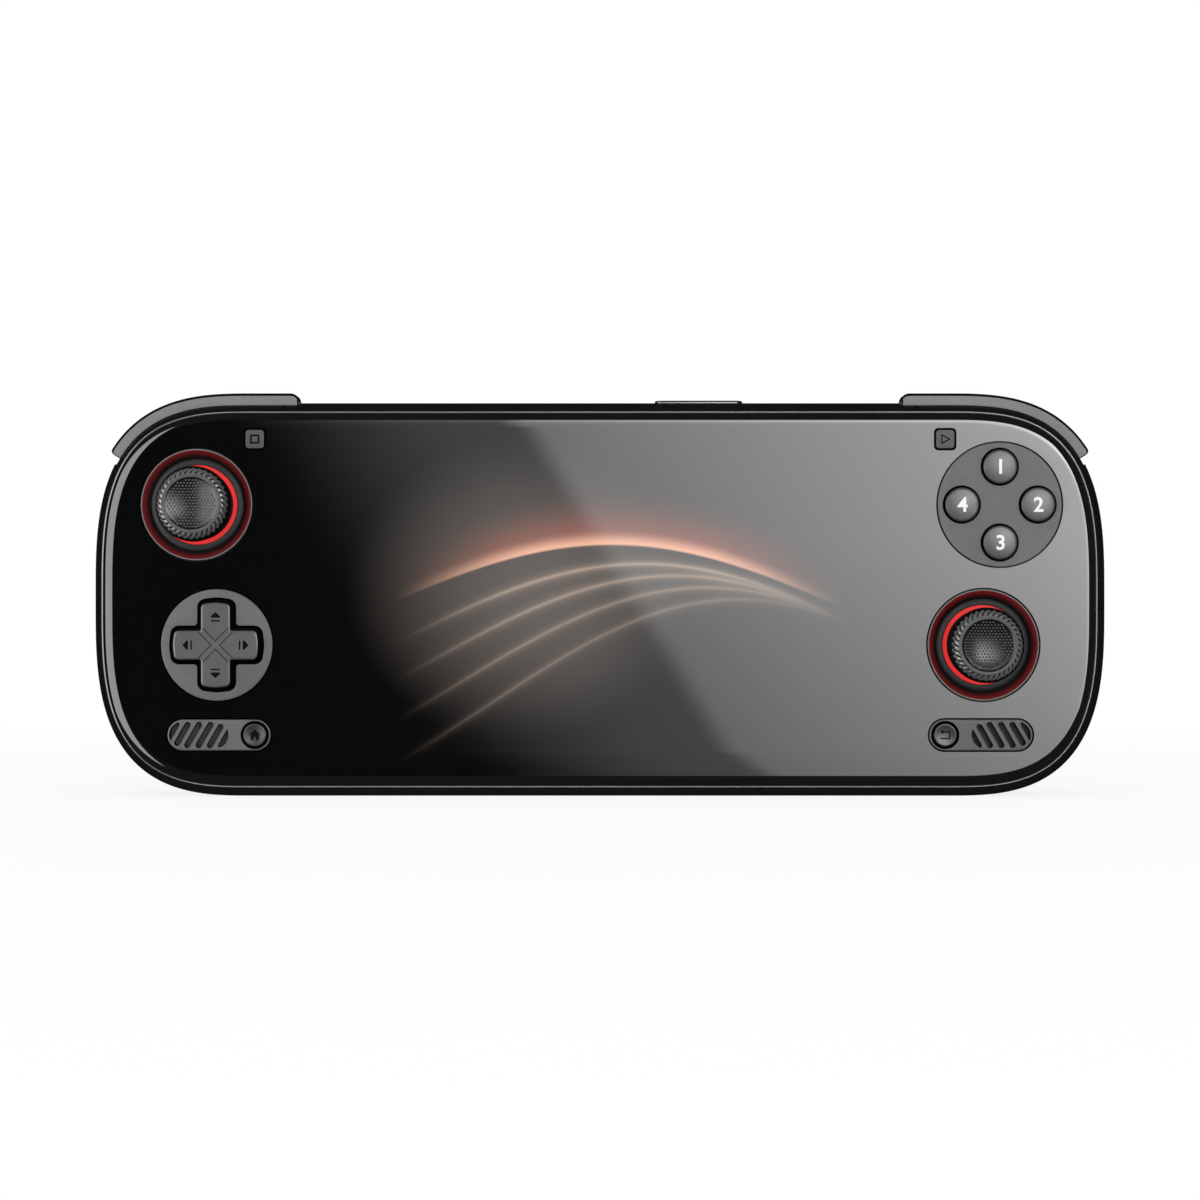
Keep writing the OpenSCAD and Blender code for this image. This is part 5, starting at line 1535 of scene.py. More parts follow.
@dataclass
class Marks(Assembly):
    """Printed numbers and engraved signs on the controls, the engravings drawn flat in black as
    painted shade.
    """

    number_size: float = 4.3
    number_weight: float = 0.09
    number_extrude: float = 0.05
    number_d: Point2 = (-0.045, 0.05)
    number_edge: float = 0.3
    sign_d: Point2 = (-0.02, 0.05)
    round_proud: float = 0.15
    arrow: Points = ((6.95, 0.0), (6.1, 0.95), (5.75, 0.95), (5.75, -0.95), (6.1, -0.95))
    arrow_bar: Sizes = (5.1, 0.0, 0.32, 1.9, 0.05)
    # Bars of the signs: X and Z of the middle, width, height and radius of the corners
    frame_bars: Tuple[Sizes, ...] = (
        (0.0, 0.79, 1.96, 0.38, 0.1), (0.0, -0.79, 1.96, 0.38, 0.1),
        (0.79, 0.0, 0.38, 1.22, 0.05), (-0.79, 0.0, 0.38, 1.22, 0.05),
    )
    hook_bars: Tuple[Sizes, ...] = (
        (0.02, -0.75, 2.1, 0.28, 0.1), (0.93, 0.0, 0.28, 1.3, 0.05),
        (0.3, 0.65, 1.5, 0.28, 0.1),
    )
    hook_tip: Points = ((-1.1, 0.65), (-0.4, 0.2), (-0.4, 1.1))
    play_outer: Points = ((-0.85, -1.1), (1.15, 0.0), (-0.85, 1.1))
    play_inner: Points = ((-0.6, -0.68), (0.63, 0.0), (-0.6, 0.68))
    roof: Points = ((-1.25, 0.0), (1.25, 0.0), (0.0, 1.15))
    # Walls of the house, as two opposite corners
    walls: Tuple[Sizes, ...] = (
        (-0.85, -1.05, -0.26, 0.05), (0.26, -1.05, 0.85, 0.05),
        (-0.27, -0.4, 0.27, 0.05),
    )

    def build(self) -> None:
        """Makes every sign."""
        for text, word in zip("1234", FACE_WORDS):
            self.number(text, word)
        self.arrows()
        outer, inner = self.play_outer, self.play_inner
        play = [[outer[k - 1], outer[k], inner[k], inner[k - 1]] for k in (1, 2, 0)]
        house = [self.roof] + [rectangle(*wall) for wall in self.walls]
        square, around = -self.layout.square_proud, -self.round_proud
        self.button_sign("menu", square, self.frame_bars, [])
        self.button_sign("start", square, [], play)
        self.button_sign("home", around, [], house)
        self.button_sign("return", around, self.hook_bars, [self.hook_tip])

    def sign(self, name: str, loops: Sequence[Loop], depth: float, body: str) -> None:
        """Makes a flat sign on a face.

        Args:
            name: Name of the piece.
            loops: Its outlines.
            depth: Depth of the face.
            body: Body that it moves with.
        """
        draft = self.draft()
        for loop in loops:
            draft.prism(loop, depth + self.sign_d[0], depth + self.sign_d[1])
        # Black ink stands in for the engraving: painted shade
        self.keep(draft.build(name, [ENGRAVING_SHADE_INK]), body, "control_plastic")

    def bar(self, centre: Point2, sizes: Sequence[float]) -> Loop:
        """Bar of a sign, from the sign's middle and the bar's five sizes."""
        x, z, w, h, r = sizes
        return round_rect((centre[0] + x, centre[1] + z), w, h, r, 2)

    def button_sign(
        self,
        word: str,
        depth: float,
        bars: Sequence[Sequence[float]],
        shapes: Sequence[Sequence[Point2]],
    ) -> None:
        """Makes the sign of a small button.

        Args:
            word: Name of the button.
            depth: Depth of its face.
            bars: Bars of the sign.
            shapes: Its other shapes, counted from its middle.
        """
        centre = middle(f"{word}_button")
        loops = [self.bar(centre, bar) for bar in bars]
        loops += [placed(shape, centre) for shape in shapes]
        self.sign(f"{word}_sign", loops, depth, word)

    def arrows(self) -> None:
        """Marks the four arms of the cross."""
        centre = middle("dpad_cross")
        shapes = [placed(self.arrow, centre), self.bar(centre, self.arrow_bar)]
        for k, word in enumerate(("right", "up", "left", "down")):
            loops = [turned_loop(shape, centre, 90 * k) for shape in shapes]
            self.sign(f"arrow_{word}", loops, -self.layout.cross_proud, "dpad")

    def glyph(self, name: str, text: str) -> bpy.types.Mesh:
        """Makes fine triangles of a text.

        Args:
            name: Name of the piece.
            text: The text.

        Returns:
            The mesh, flat and in millimetres.
        """
        curve = bpy.data.curves.new(name, "FONT")
        curve.body = text
        curve.size = self.number_size
        curve.offset = self.number_weight
        curve.extrude = self.number_extrude
        curve.resolution_u = 6
        holder = linked(name, curve)
        mesh = evaluated_mesh(holder)
        bpy.data.objects.remove(holder)
        with editing(mesh) as work:
            for _ in range(3):
                bmesh.ops.triangulate(work, faces=work.faces)
                long_edges = [e for e in work.edges if e.calc_length() > self.number_edge]
                bmesh.ops.subdivide_edges(work, edges=long_edges, cuts=1)
            bmesh.ops.triangulate(work, faces=work.faces)
            bmesh.ops.remove_doubles(work, verts=work.verts, dist=0.0005)
        return mesh

    def number(self, text: str, word: str) -> None:
        """Prints a plain number on the crown of a face button.

        Args:
            text: The number.
            word: Place of the button.
        """
        s, name, (x, z) = self.layout, f"number_{word}", middle(f"button_{word}")
        ball = ball_radius(s.button_r, s.button_rise)
        mesh = self.glyph(name, text)
        with editing(mesh) as work:
            xs, zs = zip(*((v.co.x, v.co.y) for v in work.verts))
            mid_x, mid_z = (min(xs) + max(xs)) / 2, (min(zs) + max(zs)) / 2
            for v in work.verts:
                dx, dz = v.co.x - mid_x, v.co.y - mid_z
                sag = ball - math.sqrt(ball * ball - dx * dx - dz * dz)
                depth = sag - s.button_proud + self.number_d[0 if v.co.z > 0 else 1]
                v.co = ((x + dx) * MM, s.y(depth) * MM, (z + dz) * MM)
        mesh.materials.clear()
        mesh.materials.append(WHITE_INK.material())
        self.keep(linked(name, mesh), word, "control_plastic")


@dataclass
class Controls(Assembly):
    """Cross, face buttons, small buttons and speaker plates."""

    # Crosses: length over two arms, width of an arm, outer and inner radius, bulge of the ends
    cross_top: Sizes = (17.2, 5.4, 0.7, 0.8, 0.2)
    cross_edge: Sizes = (17.8, 6.0, 1.0, 0.5, 0.2)
    cross_side: Sizes = (18.0, 6.2, 1.0, 0.5, 0.2)
    cross_low: Sizes = (19.0, 7.2, 1.7, 0.5, 0.2)
    cross_hole: Sizes = (20.05, 8.2, 1.8, 0.7, 0.25)
    cross_back: float = 2.92
    cross_sharp: float = 12.0
    groove_at: float = 0.88
    groove_half: float = 0.115
    groove_run: float = 2.75
    groove_d: Point2 = (-0.5, 0.2)
    # Profiles: radius and depth
    cross_foot: Points = (
        (0.0, 2.9), (10.9, 2.9), (10.9, 3.5), (1.9, 3.5), (1.9, 3.75), (1.0, 3.75),
        (0.0, 3.2),
    )
    disc_rim: Points = ((0.0, 0.0), (11.6, 0.0), (11.72, 0.04), (11.76, 0.14))
    pill: Point2 = (21.8, 6.5)
    pill_rim: Points = ((-0.2, 0.0), (-0.06, 0.04), (0.0, 0.14))
    pill_flange: float = 1.8
    grid: Point2 = (12.5, 5.7)
    grid_out: float = 4.25
    slots: Sizes = (6.4, 5.7, 6.2, 6.2, 5.7, 6.4)
    slot_shift: Sizes = (0.0, 0.27, 0.0, 0.0, -0.27, 0.0)
    slot_w: float = 1.32
    slot_pitch: float = 2.4
    slot_lean: float = 60.0
    button_hole_r: float = 3.0
    face_soft: float = 0.5
    face_foot: Points = ((4.62, 1.95), (4.62, 2.75), (0.0, 2.75))
    round_face: Points = (
        (0.0, -0.04), (0.6, -0.05), (1.2, -0.09), (1.7, -0.15), (2.05, -0.21),
        (2.22, -0.23), (2.34, -0.19), (2.41, -0.08), (2.43, 0.05),
    )
    round_foot: Points = (
        (2.43, 1.95), (3.4, 1.95), (3.4, 2.5), (1.2, 2.5), (1.2, 3.6), (0.0, 3.6),
    )
    square_w: float = 4.05
    square_r: float = 0.75
    square_soft: Point3 = (0.5, 0.25, 0.2)
    square_flange: float = 5.45
    square_stem: float = 2.4
    square_foot_d: Point3 = (1.15, 1.75, 3.6)

    def build(self) -> None:
        """Makes the moulded keys and their plates, and finishes what is behind them."""
        self.cross()
        for word in FACE_WORDS:
            self.face_button(word)
        for word in ("home", "return"):
            self.round_button(word)
        for word in ("menu", "start"):
            self.square_button(word)
        self.dpad_plate()
        for side in Side:
            self.speaker_plate(side)
        node = "face_button_plate"
        # Painted shade behind the face of the face button plate
        self.finish(replace(PLATE, face=span(node)[0][1]), node)
        self.finish(MEMBRANE, "dpad_membrane", "face_button_membrane")
        self.finish(STEEL, "dpad_ball")

    def cross_loop(self, sizes: Sequence[float]) -> Loop:
        """Outline of the cross.

        Args:
            sizes: Length, width of an arm, outer radius, inner radius and bulge.

        Returns:
            The loop.
        """

        def arc(x: float, z: float, r: float, turn: int, start: float) -> Loop:
            """Quarter of a circle about a middle, turning one way or the other."""
            angles = [turn * math.pi / 2 * (i / 6) + start for i in range(7)]
            return [(x + r * math.cos(a), z + r * math.sin(a)) for a in angles]

        length, arm, corner, inner, bulge = sizes
        a, b, right = arm / 2, length / 2 - bulge, math.pi / 2
        quarter = arc(b - corner, -a + corner, corner, 1, -right)
        for t in [i / 8 for i in range(1, 8)]:
            end = b + bulge * math.sin(math.pi * t)
            quarter.append((end, -a + corner + (2 * a - 2 * corner) * t))
        quarter += arc(b - corner, a - corner, corner, 1, 0.0)
        quarter += arc(a + inner, a + inner, inner, -1, -right)
        centre = middle("dpad_cross")
        loop: Loop = []
        for k in range(4):
            loop += turned_loop(placed(quarter, centre), centre, 90 * k)
        return loop

    def cross(self) -> None:
        """Makes the cross with soft edges and fine grooves, and the foot that it rocks on."""
        centre, proud, sharp = middle("dpad_cross"), self.layout.cross_proud, self.cross_sharp
        at, half, run = self.groove_at, self.groove_half, self.groove_run
        levels = [
            (d, self.cross_loop(sizes))
            for d, sizes in (
                (-proud, self.cross_top),
                (-proud + 0.1, self.cross_edge),
                (-proud + 0.4, self.cross_side),
                (0.0, self.cross_low),
                (self.cross_back, self.cross_low),
            )
        ]
        # Painted shade: the flanks take the black slot
        obj = self.draft().levels(levels, [0, 1, 1, 1]).build("cross", [CROSS, BLACK_AND_PAINTED_SHADE], sharp)
        grooves = self.draft()
        vee = [(at - half + run, -run), (at + half + run, -run), (at + half, 0.0)]
        vee += [(at + half + run, run), (at - half + run, run), (at - half, 0.0)]
        for angle in (0, 90, 180, 270):
            loop = turned_loop(placed(vee, centre), centre, angle)
            # Painted shade on the walls of the grooves
            grooves.levels([(-proud + d, loop) for d in self.groove_d], [1])
        carve(obj, [grooves.build("cutter", [CROSS, BLACK_AND_PAINTED_SHADE])], sharp)
        self.keep(obj, "dpad", "control_plastic", "dpad_cross")
        foot = self.draft().lathe(centre, self.cross_foot)
        self.keep(foot.build("cross_base", [BLACK_AND_PAINTED_SHADE]), "dpad", "control_plastic")

    def dpad_plate(self) -> None:
        """Makes the round plate with the opening for the cross."""
        node, glass_t = "dpad_plate", self.layout.glass_t
        low, high = span(node)
        front, back = self.depths(node)
        wide, rim_r = (high[0] - low[0]) / 2, self.disc_rim[-1][0]
        profile = [(r, front + drop) for r, drop in self.disc_rim]
        profile += [(rim_r, glass_t), (wide, glass_t), (wide, back), (0.0, back)]
        # Painted shade: the sides below the rim take the black slot
        draft = self.draft().lathe(middle(node), profile, 128, [0, 0, 0, 1, 1, 1, 1])
        obj = draft.build("dpad_disc", [DISC, BLACK_AND_PAINTED_SHADE])
        carve(obj, [self.hole(self.cross_loop(self.cross_hole), front - 1, back + 1)])
        self.keep(obj, "chassis", "control_plastic", node)

    def speaker_plate(self, side: Side) -> None:
        """Makes a pill-shaped plate with leaning slots and an opening for its button.

        Args:
            side: Its side.
        """
        node, glass_t, flange = f"{side.word}_speaker_plate", self.layout.glass_t, self.pill_flange
        (front, back), (x, z) = self.depths(node), middle(node)
        rim = [(grow, front + drop) for grow, drop in self.pill_rim]
        rim += [(0.0, glass_t), (flange, glass_t), (flange, back)]
        levels = [
            (d, stadium((x, z), self.pill[0] + grow, self.pill[1] + grow, 16)) for grow, d in rim
        ]
        # Painted shade: the sides below the rim take the black slot
        draft = self.draft().levels(levels, [0, 0, 1, 1, 1])
        obj = draft.build(f"{side.word}_grille", [GRILLE, BLACK_AND_PAINTED_SHADE])
        grid = (x + side.value * self.grid_out, z)
        border = stadium(grid, *self.grid, 12)
        button = "home_button" if side is Side.LEFT else "return_button"
        loops = [circle(middle(button), self.button_hole_r)]
        for i, (length, shift) in enumerate(zip(self.slots, self.slot_shift)):
            at = (grid[0] + (i - 2.5) * self.slot_pitch, grid[1])
            slot = stadium((at[0] + shift, at[1]), length, self.slot_w)
            loops.append(clipped(turned_loop(slot, at, -self.slot_lean * side.value), border))
        carve(obj, [self.hole(loop, front - 1, back + 1) for loop in loops])
        self.keep(obj, "chassis", "control_plastic", node)

    def face_button(self, word: str) -> None:
        """Makes a face button.

        Args:
            word: Its place.
        """
        s, soft = self.layout, self.face_soft
        r, ball = s.button_r, ball_radius(s.button_r, s.button_rise)
        profile: List[Point2] = []
        for k in range(9):
            q = (r - soft) * k / 8
            profile.append((q, -s.button_proud + ball - math.sqrt(ball * ball - q * q)))
        start = profile[-1][1]
        profile += [(r - soft * inset, start + soft * drop) for drop, inset in fillet(6)[1:]]
        # Painted shade: the lower fillet and the sides take the black slot
        marks = [0] * (len(profile) - 3) + [1] * 6
        profile += [(r, self.face_foot[0][1]), *self.face_foot]
        draft = self.draft().lathe(middle(f"button_{word}"), profile, 96, marks)
        self.key(draft, word, KEY, f"button_{word}")

    def round_button(self, word: str) -> None:
        """Makes a round button of a speaker plate.

        Args:
            word: Its name.
        """
        profile = self.round_face + self.round_foot
        # Painted shade: the outer fillet and the sides take the black slot
        marks = [0] * (len(self.round_face) - 2) + [1] * 7
        draft = self.draft().lathe(middle(f"{word}_button"), profile, 72, marks)
        self.key(draft, word, SMALL_KEY, f"{word}_button")

    def square_button(self, word: str) -> None:
        """Makes a small square button.

        Args:
            word: Its name.
        """
        centre, w, r = middle(f"{word}_button"), self.square_w, self.square_r
        loss, drop_d, round_in = self.square_soft
        flange_d, back_d, stem_d = self.square_foot_d
        levels: List[Level] = []
        for drop, inset in fillet(5):
            side = w - loss * inset
            loop = round_rect(centre, side, side, r - round_in * inset)
            levels.append((-self.layout.square_proud + drop_d * drop, loop))
        # Painted shade: the rounded edge and the sides take the black slot
        marks = [0, 0] + [1] * (len(levels) + 2)
        flange = round_rect(centre, self.square_flange, self.square_flange, r)
        stem = stadium(centre, self.square_stem, self.square_stem)
        levels += [(flange_d, round_rect(centre, w, w, r)), (flange_d, flange)]
        levels += [(back_d, flange), (back_d, stem), (stem_d, stem)]
        self.key(self.draft().levels(levels, marks), word, SQUARE_KEY, f"{word}_button")

    def key(self, draft: Draft, word: str, finish: Finish, node: str) -> None:
        """Keeps a key with its sides painted black as shade, on the body of its name."""
        obj = draft.build(f"key_{word}", [finish, BLACK_AND_PAINTED_SHADE])
        self.keep(obj, word, "control_plastic", node)


@dataclass
class Shoulders(Assembly):
    """Bumpers and triggers."""

    bumper_d: Point2 = (2.25, 7.3)
    bumper_low: float = -0.8
    bumper_high: float = 2.1
    bumper_soft: float = 0.58
    tip_turn: float = 37.5
    tip_run: float = 1.6
    tip_drop: float = 1.1
    end_x: float = 63.85
    end_r: float = 1.7
    boss: Point2 = (67.05, 1.3)
    boss_r: Point2 = (0.65, 1.2)
    boss_in: float = 0.01
    trigger_x: Point2 = (65.65, 89.45)
    trigger_d: Point2 = (8.7, 16.1)
    trigger_h: float = 1.5
    trigger_soft: float = 0.25
    axis_drop: float = 4.2
    axis_d: float = 9.6
    ear_r: float = 1.3
    ear_w: float = 2.4
    ear_d: Point2 = (8.95, 10.25)
    # Distance in from the trigger's low and high ends, and how far the ear stays below the top
    ears: Points = ((0.25, 0.6), (-3.4, 1.4))

    def build(self) -> None:
        """Makes both sides."""
        for side in Side:
            self.bumper(side)
            self.trigger(side)
        self.finish(BLACK_AND_PAINTED_SHADE, "bumper_pins")
        self.finish(STEEL, "trigger_pins")

    def bumper_section(self, high: float) -> List[Point2]:
        """Section across a bumper.

        Args:
            high: Its height above the body.

        Returns:
            Height and depth of each point.
        """
        (front, back), soft, low = self.bumper_d, self.bumper_soft, self.bumper_low
        rise = [(high - soft * drop, front + soft * inset) for drop, inset in reversed(fillet())]
        fall = [(q, front + back - d) for q, d in reversed(rise)]
        return [(low, front), *rise, *fall, (low, back)]

    def bumper(self, side: Side) -> None:
        """Makes a bumper that wraps the corner.

        Args:
            side: Its side.
        """
        s, word, (front, back) = self.layout, side.word, self.bumper_d
        rings: List[Ring] = []
        start, run = self.tip_turn + self.tip_run, self.tip_run
        turns = [self.tip_turn + run * (i / 8) ** 2 for i in range(8)]
        turns += [start + (90 - start) * i / 40 for i in range(41)]
        for turn in turns:
            near = max(0.0, 1 - (turn - self.tip_turn) / run)
            high = self.bumper_high - self.tip_drop * (1 - math.sqrt(1 - near * near))
            points = [(s.corner(turn, -q), d) for q, d in self.bumper_section(high)]
            rings.append([(side.value * x, s.y(d), z) for (x, z), d in points])
        for a in [math.pi / 2 * i / 12 for i in range(13)]:
            high = self.bumper_high - self.end_r * (1 - math.cos(a))
            x = side.value * (self.end_x + self.end_r * (1 - math.sin(a)))
            rings.append([(x, s.y(d), s.top + q) for q, d in self.bumper_section(high)])
        draft = self.draft().loft(rings)
        bands, count = len(rings) - 1, len(rings[0])
        # Painted shade: the front rounding and both ends take the black slot
        for k, (corners_at, _) in enumerate(draft.faces[: bands * count]):
            band, place = divmod(k, count)
            shaded = 1 <= place < 7 or band < 4 or band >= bands - 5
            draft.faces[k] = (corners_at, 1 if shaded else 0)
        inner, outer = self.boss_r
        near, far = front + self.boss_in, back - self.boss_in
        centre = (side.value * self.boss[0], s.top - self.boss[1])
        draft.lathe(centre, [(inner, near), (outer, near), (outer, far), (inner, far)], 32)
        obj = draft.build(f"{word}_bumper_key", [SHOULDER, SHOULDER_SHADE])
        self.keep(obj, f"{word}_shoulder", "control_plastic", f"{word}_bumper")

    def trigger_section(self) -> List[Point2]:
        """Section across a trigger.

        Returns:
            Height and depth of each point.
        """
        h, (front, back) = self.trigger_h, self.trigger_d
        outer = [(h - 0.3, front), (h, front + 0.35), (h, front + 1.6), (h - 0.45, front + 3.4)]
        outer += [(h - 1.4, back - 2.7), (h - 2.9, back - 1.2), (h - 4.8, back - 0.25)]
        outer += [(h - 6.7, back)]
        inner = [(h - 6.7, back - 1.2), (h - 4.6, back - 1.6), (-2.1, back - 2.4)]
        inner += [(-1.5, back - 3.3), (-1, back - 4.4)]
        inner += [(-1, front + 1.6), (-1, front + 0.35), (-1, front)]
        return smooth_line(outer, 5) + smooth_line(inner, 5)

    def trigger(self, side: Side) -> None:
        """Makes a curved trigger with its two ears.

        Args:
            side: Its side.
        """
        s, word, (x0, x1) = self.layout, side.word, self.trigger_x
        rings: List[Ring] = []
        for i in range(25):
            x = x0 + (x1 - x0 - 0.4) * i / 24
            shrink = self.trigger_soft * max(0.0, 1 - min(i, 24 - i) / 1.5)
            along = (x - s.half_w + s.corner_w) / s.corner_w
            turn = 90.0
            if along > 0:
                turn = math.degrees(math.acos(min(1.0, along ** (s.corner_power / 2))))
            ring: Ring = []
            for q, d in self.trigger_section():
                px, pz = s.corner(turn, -(q - shrink if q > -0.9 else q))
                ring.append((side.value * (px if along > 0 else x), s.y(d), pz))
            rings.append(ring)
        draft = self.draft().loft(rings)
        axis_z, axis_y = s.top - self.axis_drop, s.y(self.axis_d)
        front, back = (s.y(d) for d in self.ear_d)
        round_ear = [(self.ear_r * math.sin(a), self.ear_r * math.cos(a)) for a in TURNS[::3]]
        for end, (inset, drop) in zip((x0, x1), self.ears):
            ends = [side.value * (end + inset), side.value * (end + inset + self.ear_w)]
            draft.loft([[(x, axis_y + y, axis_z + z) for y, z in round_ear] for x in ends])
            arm = [(ends[0], front), (ends[1], front), (ends[1], back), (ends[0], back)]
            draft.upright([(axis_z + 0.7, arm), (s.top - drop, arm)])
        obj = draft.build(f"{word}_trigger_key", [SHOULDER])
        self.keep(obj, f"{word}_trigger", "control_plastic", f"{word}_trigger")


@dataclass
class Edges(Assembly):
    """Keys and sockets in the edges."""

    key_w: float = 3.2
    key_soft: float = 0.35
    flange: float = 1.8
    flange_t: float = 0.8
    # Length, rise over the top of the body, and Z of the top of the flange
    volume: Point3 = (18.7, 0.8, 79.38)
    power: Point3 = (11.2, -0.15, 79.75)

    def build(self) -> None:
        """Makes the two keys and finishes the sockets."""
        self.key("volume", "volume_rocker", self.volume)
        self.key("power", "power_button", self.power)
        self.finish(STEEL, "usb_port", "card_reader")
        self.finish(DARK, "audio_jack")

    def key(self, body: str, node: str, sizes: Point3) -> None:
        """Makes a key of the top edge with soft edges.

        Args:
            body: Its body.
            node: The node that it replaces.
            sizes: Its length, its rise and the height of its flange.
        """
        s, w, soft = self.layout, self.key_w, self.key_soft
        length, rise, flange = sizes
        centre, high = (middle(node)[0], s.y(s.edge_d)), s.top + rise
        wide = stadium(centre, length + self.flange, w + self.flange, 12)
        levels = [(flange - self.flange_t, wide), (flange, wide)]
        levels.append((flange, stadium(centre, length, w, 12)))
        for drop, inset in reversed(fillet(5)):
            k = 2 * soft * inset
            levels.append((high - soft * drop, stadium(centre, length - k, w - k, 12)))
        obj = self.draft().upright(levels).build(f"{body}_key", [EDGE_KEY])
        self.keep(obj, body, "key_metal", node)


@dataclass
class Inside(Assembly):
    """Pieces behind the shells."""

    def build(self) -> None:
        """Finishes the inner nodes."""
        boards = ("main_board", "io_board", "left_control_board", "right_control_board")
        self.finish(CIRCUIT, *boards)
        self.finish(DARK, "fan_housing", "fan_rotor", "display_panel")
        self.finish(SPEAKER, "left_speaker", "right_speaker")
        self.finish(BATTERY, "battery")
        self.finish(COPPER, "heat_sink")
        self.finish(STEEL, "board_screws")


@dataclass(frozen=True)
class Softbox:
    """One lamp of the studio, which doesn't show in the gloss."""

    name: str
    place: Point3
    aim: Point3
    size: Point2
    level: float

    def hang(self) -> None:
        """Makes the lamp."""
        lamp = bpy.data.lights.new(self.name, "AREA")
        lamp.shape = "RECTANGLE"
        lamp.size, lamp.size_y = self.size
        lamp.energy = self.level * math.pi * self.size[0] * self.size[1]
        obj = linked(self.name, lamp)
        obj.location = self.place
        way = Vector(self.aim) - Vector(self.place)
        obj.rotation_euler = way.to_track_quat("-Z", "Y").to_euler()
        obj.visible_glossy = False
        obj.visible_camera = False
        LOG.info("lamp %s", self.name)


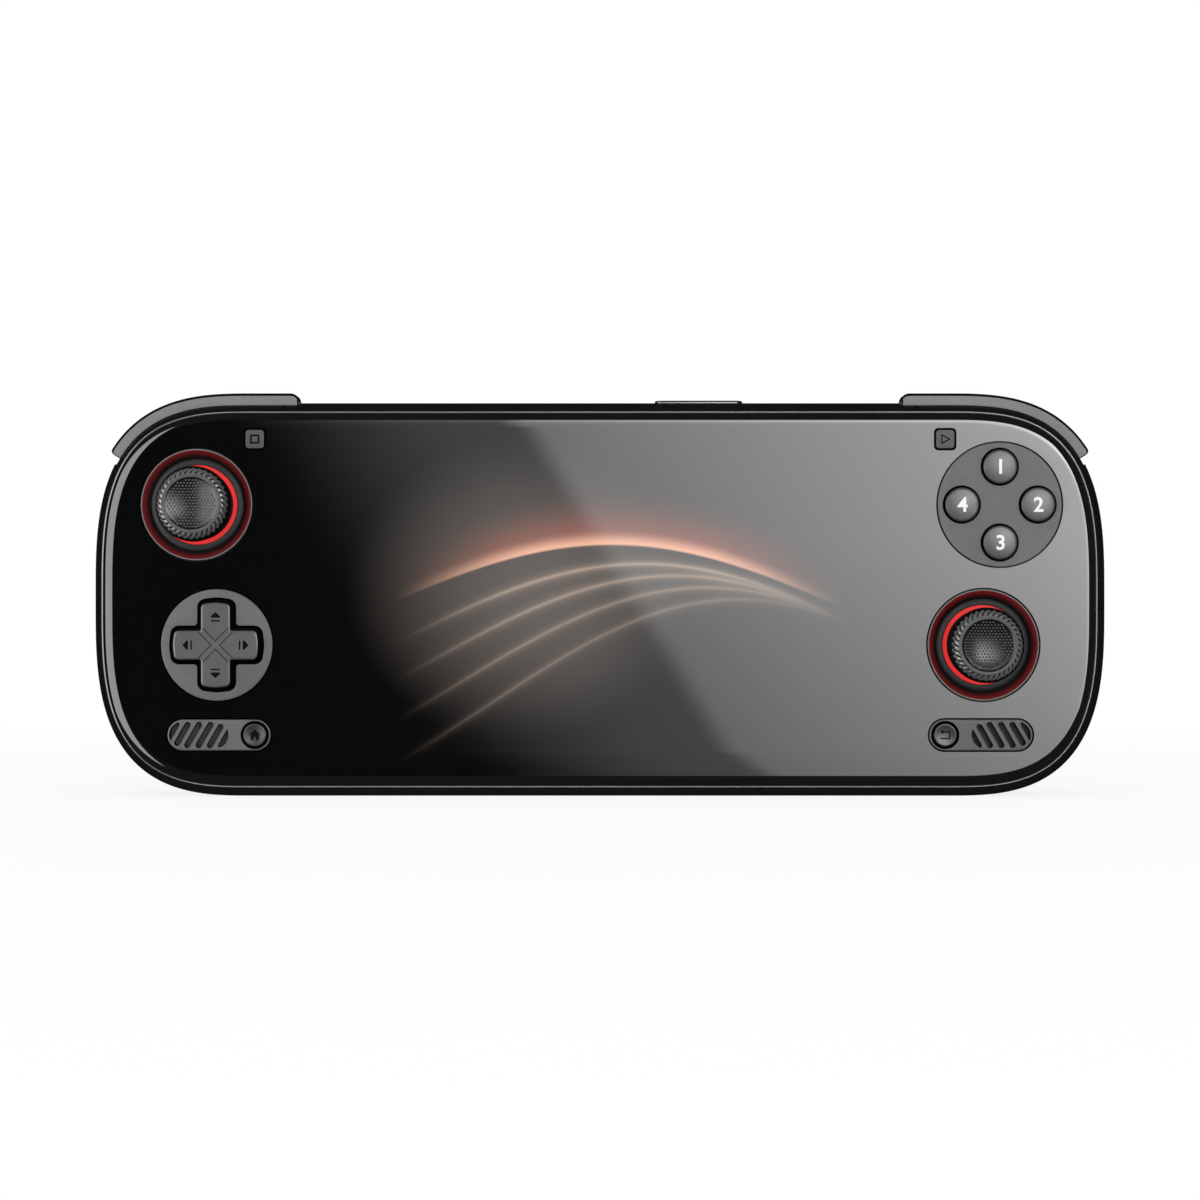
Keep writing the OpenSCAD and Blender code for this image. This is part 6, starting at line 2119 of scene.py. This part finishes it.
@dataclass
class Studio:
    """Floor, backdrop, lamps and camera, with places in metres."""

    layout: Layout
    floor_x: float = 4.0
    floor_front: float = -3.0
    bend_y: float = 0.5
    bend_r: float = 0.6
    wall_top: float = 4.0
    front_y: float = -1.5
    front_x: Point2 = (-0.6, 0.76)
    front_z: Point2 = (-0.16, 0.56)
    left_near: Point2 = (-0.414, -0.92)
    left_far: Point2 = (-1.25, -0.48)
    left_z: Point2 = (-0.36, 0.56)
    # Slanting edge on the front card, in millimetres of the glass that shows it
    edge_scale: float = 3.93
    edge_x: float = 7.0
    edge_z: float = 41.5
    edge_slant: float = 0.155
    edge_soft: Point2 = (-3.0, 4.0)
    margin: Point2 = (-62.0, -8.0)
    margin_level: float = 0.05
    slope: Point2 = (0.00195, 0.15)
    upper: Point2 = (210.0, 330.0)
    gloss: float = 20.0
    left_level: float = 5.4
    # Distance of the camera, and the size of one of the photograph's pixels, in millimetres
    away: float = 510.0
    pixel: float = 0.2109
    half_view: float = 600.0
    view_drop: float = 0.56
    LAMPS: ClassVar[Tuple[Softbox, ...]] = (
        Softbox("top_box", (0.0, -0.15, 1.0), (0.0, 0.0, 0.05), (1.2, 0.8), 1.6),
        Softbox("left_box", (-0.9, -0.25, 0.25), (0.0, 0.0, 0.04), (0.35, 0.9), 1.5),
        Softbox("right_box", (0.9, -0.25, 0.25), (0.0, 0.0, 0.04), (0.35, 0.9), 1.5),
        Softbox("front_fill", (0.0, -1.6, 0.5), (0.0, 0.0, 0.04), (1.6, 1.0), 1.2),
    )
    # What a reflector doesn't take part in
    UNSEEN: ClassVar[Tuple[str, ...]] = ("camera", "diffuse", "shadow", "transmission")

    def build(self) -> None:
        """Sets the stage."""
        bpy.context.scene.view_settings.view_transform = "Standard"
        self.floor()
        self.cards()
        self.world()
        for lamp in self.LAMPS:
            lamp.hang()
        self.camera()

    def hang(
        self,
        name: str,
        points: Sequence[Point3],
        draw: Callable[[Graph], None],
        unseen: Sequence[str],
    ) -> None:
        """Makes a strip of the stage.

        Args:
            name: Its name.
            points: Its points in pairs across the strip.
            draw: Draws its node tree.
            unseen: Kinds of rays that don't see it.
        """
        count = len(points) // 2 - 1
        mesh = bpy.data.meshes.new(name)
        faces = [(2 * i, 2 * i + 1, 2 * i + 3, 2 * i + 2) for i in range(count)]
        mesh.from_pydata(points, [], faces)
        mesh.polygons.foreach_set("use_smooth", [True] * count)
        mesh.materials.append(drawn_material(name, draw))
        obj = linked(name, mesh)
        for kind in unseen:
            setattr(obj, f"visible_{kind}", False)

    def floor(self) -> None:
        """Makes a pale floor that curves up into a backdrop."""
        y, r = self.bend_y, self.bend_r
        profile = [(self.floor_front, 0.0), (y, 0.0)]
        for a in [math.pi / 2 * i / 16 for i in range(1, 17)]:
            profile.append((y + r * math.sin(a), r - r * math.cos(a)))
        profile.append((y + r, self.wall_top))
        points = [(x, y, z) for y, z in profile for x in (-self.floor_x, self.floor_x)]
        self.hang("floor", points, self.floor_light, ["glossy"])

    def floor_light(self, graph: Graph) -> None:
        """Draws the floor: pale, and white to the camera but for a soft shadow.

        Args:
            graph: Its node tree.
        """
        tint = graph.blend(graph.noise(40.0, 2.0), grey(0.86), grey(0.88))
        pale = graph.out("ShaderNodeBsdfDiffuse", {"Color": tint})
        seen = graph.ray(Ray.CAMERA).most(graph.ray(Ray.TRANSMISSION))
        x, y, z = graph.place()
        white = 0.85 + 0.15 * ((x * 0.7) ** 2.0 + y * y + z * z).root().ramp(110.0, 330.0)
        inputs = {0: seen * white, 1: pale, 2: graph.emission(1.0)}
        graph.end(graph.out("ShaderNodeMixShader", inputs))

    def cards(self) -> None:
        """Hangs the reflectors that the glass and the metal show."""
        front = [(x, self.front_y, z) for x in self.front_x for z in self.front_z]
        self.hang("front_card", front, self.front_light, self.UNSEEN)
        left = [(*place, z) for place in (self.left_near, self.left_far) for z in self.left_z]
        self.hang("left_card", left, self.left_light, self.UNSEEN)

    def front_light(self, graph: Graph) -> None:
        """Draws the light of the front card: a slanting edge, brighter to the upper right.

        Args:
            graph: Its node tree.
        """
        x, _, z = graph.place()
        past = x / self.edge_scale - self.edge_x
        past = past + (z.least(self.upper[0]) - self.edge_z) * self.edge_slant
        margin = past.ramp(*self.margin) * self.margin_level
        rise = 0.8 + 0.2 * ((z + 102.0) / 196.0).most(0.0).least(1.0)
        slope = (past * self.slope[0] + self.slope[1]) * rise
        level = margin + past.ramp(*self.edge_soft) * (slope - margin)
        graph.end(graph.emission(level * (1.0 + 0.5 * z.ramp(*self.upper)) * self.gloss))

    def left_light(self, graph: Graph) -> None:
        """Draws the light of the left card, even but for its edges."""
        even = 1.0 - abs(graph.place()[2] - 100.0).ramp(420.0, 460.0)
        graph.end(graph.emission(even * self.left_level))

    def world(self) -> None:
        """Lights the room softly, dimmer in the gloss and white to the camera."""
        world = bpy.data.worlds.new("studio")
        bpy.context.scene.world = world
        world.use_nodes = True
        graph = Graph(world.node_tree)
        seen = graph.ray(Ray.CAMERA)
        level = (0.45 - graph.ray(Ray.GLOSSY) * 0.36) * (1.0 - seen) + seen
        light = graph.out("ShaderNodeBackground", {"Color": grey(1.0), "Strength": level})
        graph.node("ShaderNodeOutputWorld", {"Surface": light})

    def camera(self) -> None:
        """Sets the camera straight in front, as in the photograph."""
        s = self.layout
        data = bpy.data.cameras.new("camera")
        data.sensor_fit = "HORIZONTAL"
        data.sensor_width = 36.0
        data.angle = 2 * math.atan(self.half_view * self.pixel / self.away)
        data.clip_start = 0.01
        obj = linked("camera", data)
        height = s.half_h - self.view_drop * self.pixel
        obj.location = (0.0, (s.face_y - self.away) * MM, height * MM)
        obj.rotation_euler = (math.pi / 2, 0.0, 0.0)
        bpy.context.scene.camera = obj


def main() -> None:
    """Builds the whole scene."""
    logging.basicConfig(level=logging.INFO, format="%(name)s: %(message)s")
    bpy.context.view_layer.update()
    layout = Layout.from_frame()
    parts = [kind(layout) for kind in (Body, Controls, Marks, Shoulders, Edges, Inside)]
    parts += [Stick(layout, side) for side in Side]
    for part in parts:
        part.build()
    Studio(layout).build()


if __name__ == "__main__":
    main()
